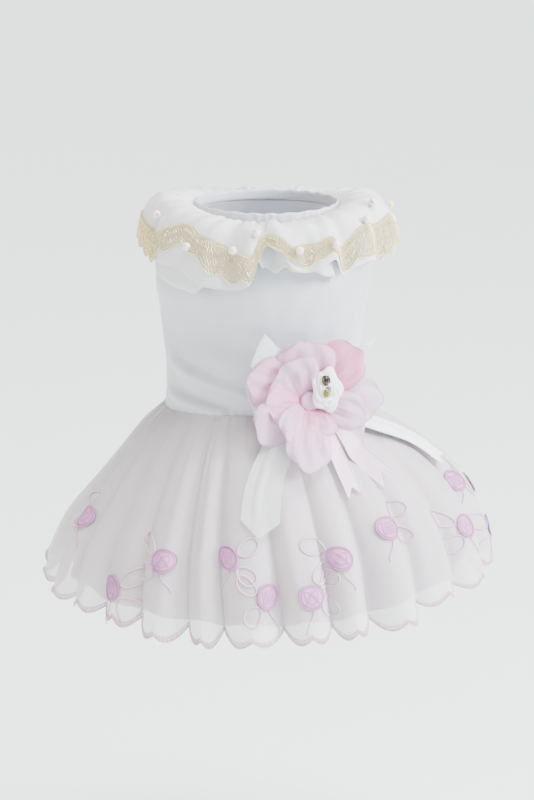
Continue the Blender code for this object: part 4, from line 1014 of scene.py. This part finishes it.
class DRESS_OT_skirt_overlay(bpy.types.Operator):
    """Make the gathered sheer skirt and the stitched border of its scallops"""

    bl_idname = "dress.skirt_overlay"
    bl_label = "Skirt overlay"

    def execute(self, context):
        down, place = np.meshgrid(np.linspace(0.0, 1.0, 76), np.arange(FOLD_COUNT * 24) / 24.0, indexing="ij")
        surface = overlay_point(place, down)
        seam = bodice_point(fold_angle(place[:1], down[:1]), 0.988, 0.0004)
        turned = 0.45 * seam + 0.55 * surface[:1] + (0.0, 0.0, 0.0006)
        cloth = patch(np.concatenate([seam, turned, surface]), wraps=True)
        overlay = add_piece("skirt_sheer_overlay", [cloth], ["sheer_overlay"], ["skirt_overlay"],
                            wall=0.0004)
        border = self.border()
        return {"FINISHED"}

    def border(self):
        """Corded edge, a second line above it and short stitches between the two."""
        place = (np.arange(FOLD_COUNT * 96) / 96.0)[None]
        parts = []
        for level, radius in ((1.0, 0.00046), (0.982, 0.00028)):
            points = overlay_point(place, np.full(place.shape, level))
            normals = overlay_normal(place, np.full(place.shape, level - 0.002))
            parts.append(threads(points, normals, radius, closed=True))
        count = FOLD_COUNT * 34
        spot = (np.arange(count) / 34.0)[:, None]
        slant = np.where(np.arange(count) % 2 == 0, 0.010, -0.010)[:, None]
        along = np.linspace(0.0, 1.0, 3)[None]
        level = 0.981 + 0.019 * along
        points = overlay_point(spot + slant * (along - 0.5), level)
        normals = overlay_normal(spot + 0.0 * along, level - 0.002)
        parts.append(threads(points + normals * 0.00030, normals, 0.00030))
        return add_piece("skirt_scallop_border", parts, ["border_thread"])


def dot_place(index):
    """Place along the folds, share down and the metres that one unit of each covers, for one dot."""
    fold, column, down = DOTS[index]
    place = fold + column / FOLD_COLUMNS
    here = np.array([place]), np.array([down])
    wide = np.linalg.norm(overlay_point(here[0] + 0.05, here[1]) - overlay_point(here[0] - 0.05, here[1])) / 0.1
    tall = np.linalg.norm(overlay_point(here[0], here[1] + 0.01) - overlay_point(here[0], here[1] - 0.01)) / 0.02
    return place, down, wide, tall


def stitched(index, right, below, lift):
    """Points on the overlay at metres to the right of and below one dot, lifted off the cloth."""
    place, down, wide, tall = dot_place(index)
    at, level = place + right / wide, down + below / tall
    normal = overlay_normal(at, level)
    return overlay_point(at, level) + normal * lift, normal


class DRESS_OT_embroidery(bpy.types.Operator):
    """Make the lilac dots and the stitched petal loops and stems"""

    bl_idname = "dress.embroidery"
    bl_label = "Embroidery"

    def execute(self, context):
        radius = 0.5 * context.scene.dress_sizes.dot_diameter
        turn = np.linspace(0.0, 2.0 * np.pi, 64, endpoint=False)
        share = np.linspace(0.0, 1.0, 12)
        dome = 0.0010 + 0.00022 * np.sqrt(1.0 - 0.9 * share ** 2)
        pick = np.random.default_rng(8)
        for index in range(len(DOTS)):
            node = "dot_%02d" % (index + 1)
            round_out = share[::-1, None] * radius * (1.0 + 0.02 * np.sin(3.0 * turn + index))
            top, _ = stitched(index, round_out * np.sin(turn), -round_out * np.cos(turn),
                              dome[::-1, None, None] * np.ones((1, 64, 1)))
            parts = [patch(top, wraps=True, turned=True)]
            for ring_share, size in ((0.96, 0.00050), (0.80, 0.00030)):
                rim, normals = stitched(index, ring_share * radius * np.cos(turn), ring_share * radius * np.sin(turn),
                                        0.0012)
                parts.append(threads(rim[None], normals[None], size, closed=True, finish=1))
            curl = np.linspace(0.0, 2.0 * np.pi, 90)
            swing, other = pick.uniform(0.0, 2.0 * np.pi, 2)
            path, normals = stitched(index, 0.52 * radius * np.sin(3.0 * curl + swing),
                                     0.52 * radius * np.sin(4.0 * curl + other), 0.00130)
            parts.append(threads(path[None], normals[None], 0.00018))
            add_piece("lilac_" + node, parts, ["lilac_stitch", "lilac_edge"], [node],
                      merge=0.000002)
        self.loops(radius, pick)
        return {"FINISHED"}

    def loops(self, radius, pick):
        """Two rounded petal outlines beside each dot and a stem that curves down from it."""
        along = np.linspace(0.0, 2.0 * np.pi, 56, endpoint=False)
        paths, normals, stems, stem_normals = [], [], [], []
        for index in range(len(DOTS)):
            side = 1.0 if index % 2 else -1.0
            for turned, length, half in ((62.0, 0.0078, 0.0056), (128.0, 0.0068, 0.0062)):
                swing = side * math.radians(turned)
                reach = radius * 1.12 + length * (1.0 - np.cos(along))
                width = half * np.sin(along) * (0.70 + 0.30 * (0.5 - 0.5 * np.cos(along)))
                right = reach * np.sin(swing) + width * np.cos(swing)
                below = -reach * np.cos(swing) + width * np.sin(swing)
                path, normal = stitched(index, right, below, 0.00042)
                paths.append(path)
                normals.append(normal)
            curl = np.linspace(0.0, 1.0, 30)
            right = side * -0.0065 * np.sin(2.2 * curl) * curl
            path, normal = stitched(index, right, radius * 1.02 + 0.013 * curl, 0.00042)
            stems.append(path)
            stem_normals.append(normal)
        parts = [threads(np.array(paths), np.array(normals), 0.00060, closed=True, flat=0.6),
                 threads(np.array(stems), np.array(stem_normals), 0.00045, flat=0.7)]
        add_piece("skirt_petal_loops", parts, ["motif_thread"])


# Flower and bow

def flower_frame():
    """Seat of the flower on the bodice, its outward axis, and its right and up directions."""
    down = np.array((FLOWER_DROP - BAND_HEIGHT) / (BODICE_LENGTH - BAND_HEIGHT))
    seat = bodice_point(np.array(FLOWER_ANGLE), down)
    turn, tilt = math.radians(FLOWER_TURN), math.radians(FLOWER_TILT)
    axis = np.array([math.sin(turn) * math.cos(tilt), -math.cos(turn) * math.cos(tilt), math.sin(tilt)])
    up = unit(np.array([0.0, 0.0, 1.0]) - axis * axis[2])
    return seat, axis, np.cross(up, axis), up


def placed(home, x, y, height):
    """Point of the flower's frame in the dress's frame."""
    seat, axis, right, up = home
    x, y, height = np.broadcast_arrays(x, y, height)
    return seat + x[..., None] * right + y[..., None] * up + height[..., None] * axis


def petal_point(home, petal, along, side):
    """Cupped petal: width from its table, tip rounded in, curled as a half sine along and rippled at the
    rim, with fine creases that run out from its root."""
    name, turn, length, width, layer, tilt, rise, _ = petal
    angle, slope, blade = (math.radians(turn), math.tan(math.radians(rise)), math.tan(math.radians(tilt)))
    half = 0.5 * PETAL_WIDTH * width * read(PETAL_SHAPE, 1, along) * side
    root = 0.80 * CORE_RADIUS
    run = length * PETAL_LENGTH - root
    radius = root + run * along * (1.0 - 0.10 * side ** 2 * along)
    seed = sum(map(ord, name))
    radius = radius * (1.0 + 0.025 * along ** 3 * np.sin(3.5 * side + seed))
    x = radius * math.cos(angle) - half * math.sin(angle)
    y = radius * math.sin(angle) + half * math.cos(angle)
    curl = 0.06 * PETAL_LENGTH * (np.sin(np.pi * along) - 0.5 * along * side ** 2)
    rim = 0.0013 * along ** 3 * np.sin(6.0 * side + 0.7 * seed) * np.abs(side)
    creases = 0.0006 * np.sin(9.0 * side + 2.0 * np.sin(3.0 * along + seed) + seed) * np.sin(np.pi * along)
    creases = creases + 0.0003 * np.sin(23.0 * side + 4.0 * along + seed) * np.sin(np.pi * along) * (1.1 - along)
    creases = creases + 0.0010 * ripple(1.4 * side, 2.2 * along, seed % 97) * np.sin(np.pi * np.clip(along, 0.0, 1.0))
    height = PETAL_HEIGHT + PETAL_LAYER * layer + (radius - root) * slope - half * blade + curl + rim + creases
    return placed(home, x, y, height)


class DRESS_OT_flower(bpy.types.Operator):
    """Make the flower's petals with their wired rims and the knot behind them"""

    bl_idname = "dress.flower"
    bl_label = "Flower"

    def execute(self, context):
        home = flower_frame()
        for petal in PETALS + INNER_PETALS:
            along, side = grid(0.0, 1.0, 36, -1.0, 1.0, 36)
            points = petal_point(home, petal, along, side)
            step = np.linspace(0.0, 1.0, 60)
            border_along = np.concatenate([0.12 + 0.88 * step, np.ones(60), 1.0 - 0.88 * step])
            border_side = np.concatenate([-np.ones(60), -1.0 + 2.0 * step, np.ones(60)])
            rim = petal_point(home, petal, border_along, border_side)
            wire = threads(rim[None], np.broadcast_to(home[1], rim[None].shape), 0.00026, finish=1)
            cloth = patch(points)
            solid = [petal[0]] if petal in PETALS else ()
            piece = add_piece("organza_" + petal[0], [cloth], [petal[7]], solid, wall=0.0004)
            edge = add_piece("rim_" + petal[0], [wire], [petal[7], petal[7]])
        turn = np.linspace(0.0, 2.0 * np.pi, 73)[:-1]
        rows = []
        for share, height in ((0.0, 0.11), (0.80, 0.13), (0.97, 0.20), (1.0, 0.3), (0.97, 0.5), (1.0, 0.75),
                              (0.94, 0.92), (0.78, 1.0), (0.0, 1.0)):
            swell = share * CORE_RADIUS * (1.0 + 0.02 * np.cos(7.0 * turn))
            rows.append(placed(home, swell * np.cos(turn), swell * np.sin(turn), CORE_LENGTH * height))
        core = patch(np.array(rows)[::-1], wraps=True, turned=True)
        add_piece("flower_knot", [core], ["core_organza"], ["bow_core"], merge=0.000002)
        return {"FINISHED"}


def loop_point(home, loop, step, side):
    """Ribbon loop: its side view follows a table out along the face, round the end and back."""
    _, turn, length, width, rise = loop
    angle = math.radians(turn)
    along, bulge = read(LOOP_PATH, 1, step), read(LOOP_PATH, 2, step)
    root = CORE_RADIUS + GAP
    radius = root + (length * LOOP_LENGTH - root) * along * (1.0 - 0.09 * side - 0.02 * side ** 2)
    spread = 0.28 + 0.72 * np.minimum(1.0, along * 1.6)
    half = 0.5 * LOOP_WIDTH * width * spread * side
    x = radius * math.cos(angle) - half * math.sin(angle)
    y = radius * math.sin(angle) + half * math.cos(angle)
    lean = (radius - root) * math.tan(math.radians(rise))
    creases = (0.0003 * np.sin(9.0 * side + 2.0 * step) + 0.0010 * np.exp(-((side + 0.2) / 0.28) ** 2)) * np.sin(
        np.pi * np.clip(along, 0.0, 1.0))
    return placed(home, x, y, LOOP_HEIGHT + 0.5 * LOOP_OPENING * bulge + lean + creases)


def tail_grid(middle, side, width, notch, rows=90, columns=28):
    """Ribbon about a centreline: stations read as rounded curves, and the last rows cut back in a notch
    that is deepest in the middle."""
    step = np.linspace(0.0, 1.0, rows)
    keys = np.linspace(0.0, 1.0, len(middle))
    path = np.stack([smooth(step, keys, middle[:, axis]) for axis in range(3)], -1)
    across = unit(np.stack([smooth(step, keys, side[:, axis]) for axis in range(3)], -1))
    wide = smooth(step, keys, width)
    heading = unit(np.gradient(path, axis=0))
    share = np.linspace(-1.0, 1.0, columns)
    points = path[:, None] + 0.5 * wide[:, None, None] * share[None, :, None] * across[:, None]
    reach = np.linalg.norm(np.diff(path, axis=0), axis=-1).sum()
    fade = np.clip((step - 0.55) / 0.45, 0.0, 1.0)[:, None] ** 2
    cut = notch * width[-1] * (1.0 - np.abs(share))[None, :] * fade * min(1.0, reach / 0.02)
    return points - cut[..., None] * heading[:, None], across, heading


class DRESS_OT_bow(bpy.types.Operator):
    """Make the white loops and the white point behind the flower"""

    bl_idname = "dress.bow"
    bl_label = "White bow"

    def execute(self, context):
        home = flower_frame()
        for loop in LOOPS:
            step, side = grid(0.0, 1.0, 96, -1.0, 1.0, 24)
            piece = add_piece("ribbon_" + loop[0], [patch(loop_point(home, loop, step, side))], ["sheer_white"],
                              [loop[0]], wall=0.0004)
            edge_step = np.linspace(0.0, 1.0, 120)
            rims = np.stack([loop_point(home, loop, edge_step, np.full(120, end)) for end in (-1.0, 1.0)])
            wire = threads(rims, np.broadcast_to(home[1], rims.shape), 0.00030)
            edge = add_piece("wire_" + loop[0], [wire], ["ribbon_satin"])
        angle = math.radians(POINT_TURN)
        along, side = grid(0.0, 1.0, 60, -1.0, 1.0, 24)
        root = CORE_RADIUS + GAP
        radius = root + (POINT_LENGTH - root) * along * (1.0 - 0.16 * (1.0 - side) * along)
        half = 0.5 * LOOP_WIDTH * (0.42 + 0.30 * along - 0.50 * along ** 4) * side
        height = LOOP_HEIGHT + (radius - root) * math.tan(math.radians(POINT_RISE))
        height = height + 0.0006 * np.sin(5.0 * side + 3.0 * along) * along * (1.0 - along) * 3.0
        points = placed(home, radius * math.cos(angle) - half * math.sin(angle),
                        radius * math.sin(angle) + half * math.cos(angle), height)
        point = add_piece("ribbon_white_bow_point", [patch(points)], ["ribbon_satin"], ["white_bow_point"],
                          wall=0.0005)
        return {"FINISHED"}


class DRESS_OT_ribbons(bpy.types.Operator):
    """Make the pink swallow-tails and the white ribbon tails"""

    bl_idname = "dress.ribbons"
    bl_label = "Ribbon tails"

    def execute(self, context):
        home = flower_frame()
        for name, stations, notch in (("pink_tail_left", PINK_LEFT, 0.75), ("pink_tail_right", PINK_RIGHT, 0.60)):
            x, y, height, width = (PETAL_LENGTH * column_of(stations, index) for index in range(4))
            middle = placed(home, x, y, height)
            heading = unit(np.gradient(middle, axis=0))
            side = unit(np.cross(home[1], heading))
            self.ribbon(name, middle, side, width, notch, "pink_satin", "pink_satin")
        for name, stations, notch, finish, slot in (
                ("white_tail_left", WHITE_LEFT, -0.45, "sheer_white", "white_organza"),
                ("white_tail_right", WHITE_RIGHT, 0.25, "ribbon_satin", "white_satin")):
            angle, down, share = (column_of(stations, index) for index in range(3))
            middle = skirt_point(angle, down)
            heading = unit(np.gradient(middle, axis=0))
            beside = skirt_point(angle + 1.0, down) - skirt_point(angle - 1.0, down)
            below = skirt_point(angle, down + 0.01) - skirt_point(angle, down - 0.01)
            normal = unit(np.cross(below, beside))
            side = unit(np.cross(normal, heading))
            self.laid(name, angle, down, PETAL_LENGTH * share, side, beside, below, notch, finish, slot)
        return {"FINISHED"}

    def ribbon(self, name, middle, side, width, notch, finish, slot):
        """A falling ribbon with a soft roll across it, thick selvedges and its cut end."""
        points, across, _ = tail_grid(middle, side, width, notch)
        self.finish_ribbon(name, points, width, finish, slot)

    def laid(self, name, angle, down, width, side, beside, below, notch, finish, slot):
        """A ribbon laid on the gathers: its edges are found by turning and sliding on the skirt."""
        turn = (side * unit(beside)).sum(-1) / (0.5 * np.linalg.norm(beside, axis=-1))
        fall = (side * unit(below)).sum(-1) / (50.0 * np.linalg.norm(below, axis=-1))
        keys, step = np.linspace(0.0, 1.0, len(angle)), np.linspace(0.0, 1.0, 90)
        angle, down, wide, turn, fall = (smooth(step, keys, values) for values in (angle, down, width, turn, fall))
        share = np.linspace(-1.0, 1.0, 28)
        offset = 0.5 * wide[:, None] * share
        points = skirt_point(angle[:, None] + turn[:, None] * offset, down[:, None] + fall[:, None] * offset)
        heading = unit(np.gradient(points[:, 14], axis=0))
        fade = np.clip((step - 0.55) / 0.45, 0.0, 1.0)[:, None] ** 2
        cut = notch * width[-1] * (1.0 - np.abs(share)) * fade
        ridge = 0.0011 * np.exp(-((share + 0.25) / 0.16) ** 2) * np.sin(np.pi * step)[:, None]
        points = points - cut[..., None] * heading[:, None] + grid_normals(points) * ridge[..., None]
        points = points + grid_normals(points) * (TAIL_LIFT + self.rise(name, step))
        self.finish_ribbon(name, points, width, finish, slot)

    def rise(self, name, step):
        """Height of a laid ribbon over the gathers: a low arch, higher for the ribbon over the side."""
        high = 0.0020 if name == "white_tail_right" else 0.0008
        return (0.0006 + high * np.sin(np.pi * np.clip(1.15 * step, 0.0, 1.0)) ** 0.7)[:, None, None]

    def finish_ribbon(self, name, points, width, finish, slot):
        """The cloth with a soft roll along it, and a corded selvedge on both sides."""
        rows, columns = points.shape[:2]
        normals = grid_normals(points)
        step, share = grid(0.0, 1.0, rows, -1.0, 1.0, columns)
        roll = 0.0003 * np.sin(2.2 * np.pi * step + 1.5 * share) * np.sin(np.pi * step)
        points = points + normals * roll[..., None]
        piece = add_piece("ribbon_" + name, [patch(points)], [finish], [name], wall=0.0005)
        rims = np.stack([points[:, 0], points[:, -1]])
        cords = threads(rims, np.stack([normals[:, 0], normals[:, -1]]), 0.00032)
        edge = add_piece("selvedge_" + name, [cords], [finish])


class DRESS_OT_rosette(bpy.types.Operator):
    """Make the wound satin rosette and its two set stones"""

    bl_idname = "dress.rosette"
    bl_label = "Rosette and stones"

    def execute(self, context):
        home = flower_frame()
        parts = []
        for number, (size, low, high, lobes) in enumerate((
                (1.00, 0.00, 0.62, 5), (0.80, 0.22, 0.86, 5), (0.58, 0.40, 1.0, 4), (0.34, 0.55, 1.08, 3))):
            turn = np.arange(96) * 2.0 * np.pi / 96
            wave = 1.0 + 0.10 * np.cos(lobes * turn + 1.3 * number)
            rows = []
            for inward, level in ((0.40, 0.0), (0.80, 0.15), (1.0, 0.45), (1.02, 0.70), (0.96, 0.9), (0.86, 1.0),
                                  (0.74, 0.92), (0.55, 0.70)):
                reach = size * inward * wave
                height = CORE_LENGTH + GAP + ROSETTE_DEPTH * (low + (high - low) * level)
                height = height + 0.0004 * np.sin(lobes * turn + 1.3 * number) * level
                rows.append(placed(home, 0.5 * ROSETTE_WIDTH * reach * np.cos(turn) + ROSETTE_ASIDE + SET_ASIDE,
                                   0.5 * ROSETTE_HEIGHT * reach * np.sin(turn) + ROSETTE_ABOVE + SET_ABOVE, height))
            parts.append(patch(np.array(rows), wraps=True, turned=True))
        rosette = add_piece("wound_rosette", parts, ["ribbon_satin"], ["rosette"], wall=0.0004)
        for node, finish, slot in (("stone_dark", "dark_crystal", "dark_crystal"),
                                   ("stone_green", "green_crystal", "green_crystal")):
            self.stone(home, node, finish, slot)
        return {"FINISHED"}

    def stone(self, home, node, finish, slot):
        """Cut stone of kite and star facets in a thin gold rim."""
        low, high = (np.array(corner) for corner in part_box(node))
        seat, axis, right, up = home
        centre = 0.5 * (low + high)
        half = 0.5 * (high[2] - low[2]) / 1.16 * 1.0
        base = centre - axis * 0.0009 + SET_ASIDE * right + SET_ABOVE * up
        turn = np.arange(16) * 2.0 * np.pi / 16
        even = np.arange(16) % 2 == 0
        rows = []
        for reach, height in ((0.0, 0.0), (1.0, 0.0), (1.0, 0.00035), (np.where(even, 0.84, 0.78), 0.0009),
                              (np.where(even, 0.50, 0.56), 0.0016), (0.0, 0.0017)):
            across = half * reach * np.cos(turn)
            along = half * 1.16 * reach * np.sin(turn)
            rows.append(base + across[:, None] * right + along[:, None] * up + height * axis)
        crystal = patch(np.array(rows), wraps=True, turned=True)
        circle = np.linspace(0.0, 2.0 * np.pi, 48, endpoint=False)
        rim = base + 1.06 * half * np.cos(circle)[:, None] * right + 1.22 * half * np.sin(circle)[:, None] * up
        rim = rim + 0.0003 * axis
        setting = threads(rim[None], np.broadcast_to(axis, rim[None].shape), 0.00030, closed=True, finish=1)
        piece = add_piece("cut_" + node, [crystal, setting], [finish, "gold"], [node], merge=0.000002,
                          rounds=False)
        return piece


# Stage

FLOOR_LEVEL = -0.46


class DRESS_OT_stage(bpy.types.Operator):
    """Make the pale floor, the soft lights and the camera"""

    bl_idname = "dress.stage"
    bl_label = "Stage"

    def execute(self, context):
        scene = context.scene
        y, x = grid(80.0, -80.0, 2, -80.0, 80.0, 2)
        points = np.stack([x, y, np.full(x.shape, FLOOR_LEVEL)], -1)
        mesh = bpy.data.meshes.new("backdrop")
        vertices, quads = patch(points)[:2]
        mesh.from_pydata(vertices, [], quads)
        sweep = bpy.data.objects.new("backdrop", mesh)
        scene.collection.objects.link(sweep)
        mesh.materials.append(hard_material("dress_backdrop", scene.dress_colours.backdrop, 0.9, vary=0.004,
                                            scale=3.0))
        world = bpy.data.worlds.new("studio")
        world.use_nodes = True
        world.node_tree.nodes["Background"].inputs["Color"].default_value = (0.93, 0.97, 1.0, 1.0)
        world.node_tree.nodes["Background"].inputs["Strength"].default_value = 0.36
        scene.world = world
        for name, place, size, power, colour in (
                ("key", (1.75, -0.60, 0.65), 0.7, 120.0, (0.98, 0.98, 1.0)),
                ("side", (-1.6, -0.7, 0.4), 1.2, 22.0, (1.0, 0.86, 0.74)),
                ("sun", (0.40, -0.10, 1.3), 0.0, 8.6, (1.0, 1.0, 1.0))):
            lamp = bpy.data.lights.new(name, "AREA" if size else "SUN")
            lamp.energy, lamp.color = power, colour
            if size:
                lamp.shape, lamp.size = "SQUARE", size
            else:
                lamp.angle = 0.8
            light = bpy.data.objects.new(name, lamp)
            light.location = place
            aim_at(light, (0.0, 0.0, -0.12))
            scene.collection.objects.link(light)
        lens = bpy.data.cameras.new("camera")
        lens.sensor_fit, lens.sensor_height, lens.lens = "VERTICAL", 36.0, 108.9
        lens.clip_start, lens.clip_end = 0.05, 200.0
        camera = bpy.data.objects.new("camera", lens)
        rise = math.radians(14.0)
        camera.location = (0.0, -1.5 * math.cos(rise), -0.126 + 1.5 * math.sin(rise))
        aim_at(camera, (0.0, 0.0, -0.126))
        scene.collection.objects.link(camera)
        scene.camera = camera
        return {"FINISHED"}


def aim_at(thing, target):
    """Turn a light or a camera so that it looks at a point."""
    away = [end - start for end, start in zip(target, thing.location)]
    flat = math.hypot(away[0], away[1])
    thing.rotation_euler = (math.atan2(flat, -away[2]), 0.0, math.atan2(-away[0], away[1]))


class DRESS_PT_panel(bpy.types.Panel):
    """Settings and pieces of the dress"""

    bl_idname = "DRESS_PT_panel"
    bl_label = "Dog party dress"
    bl_space_type = "VIEW_3D"
    bl_region_type = "UI"
    bl_category = "Dress"

    def draw(self, context):
        for group in (context.scene.dress_sizes, context.scene.dress_colours):
            box = self.layout.box()
            for key in group.__annotations__:
                box.prop(group, key)
        for operator in PIECES:
            self.layout.operator(operator.bl_idname)


PIECES = (DRESS_OT_stage, DRESS_OT_bodice, DRESS_OT_neck_band, DRESS_OT_collar, DRESS_OT_lace, DRESS_OT_pearls,
          DRESS_OT_skirt_lining, DRESS_OT_skirt_overlay, DRESS_OT_embroidery, DRESS_OT_flower, DRESS_OT_bow,
          DRESS_OT_ribbons, DRESS_OT_rosette)
CLASSES = (DressSizes, DressColours) + PIECES + (DRESS_PT_panel,)


def register():
    """Add the settings, the operators and the panel."""
    for made in CLASSES:
        bpy.utils.register_class(made)
    bpy.types.Scene.dress_sizes = bpy.props.PointerProperty(type=DressSizes)
    bpy.types.Scene.dress_colours = bpy.props.PointerProperty(type=DressColours)


def unregister():
    """Take them away again."""
    del bpy.types.Scene.dress_colours
    del bpy.types.Scene.dress_sizes
    for made in reversed(CLASSES):
        bpy.utils.unregister_class(made)


def main():
    """Make every piece."""
    register()
    for operator in PIECES:
        group, name = operator.bl_idname.split(".")
        getattr(getattr(bpy.ops, group), name)()


if __name__ == "__main__":
    main()
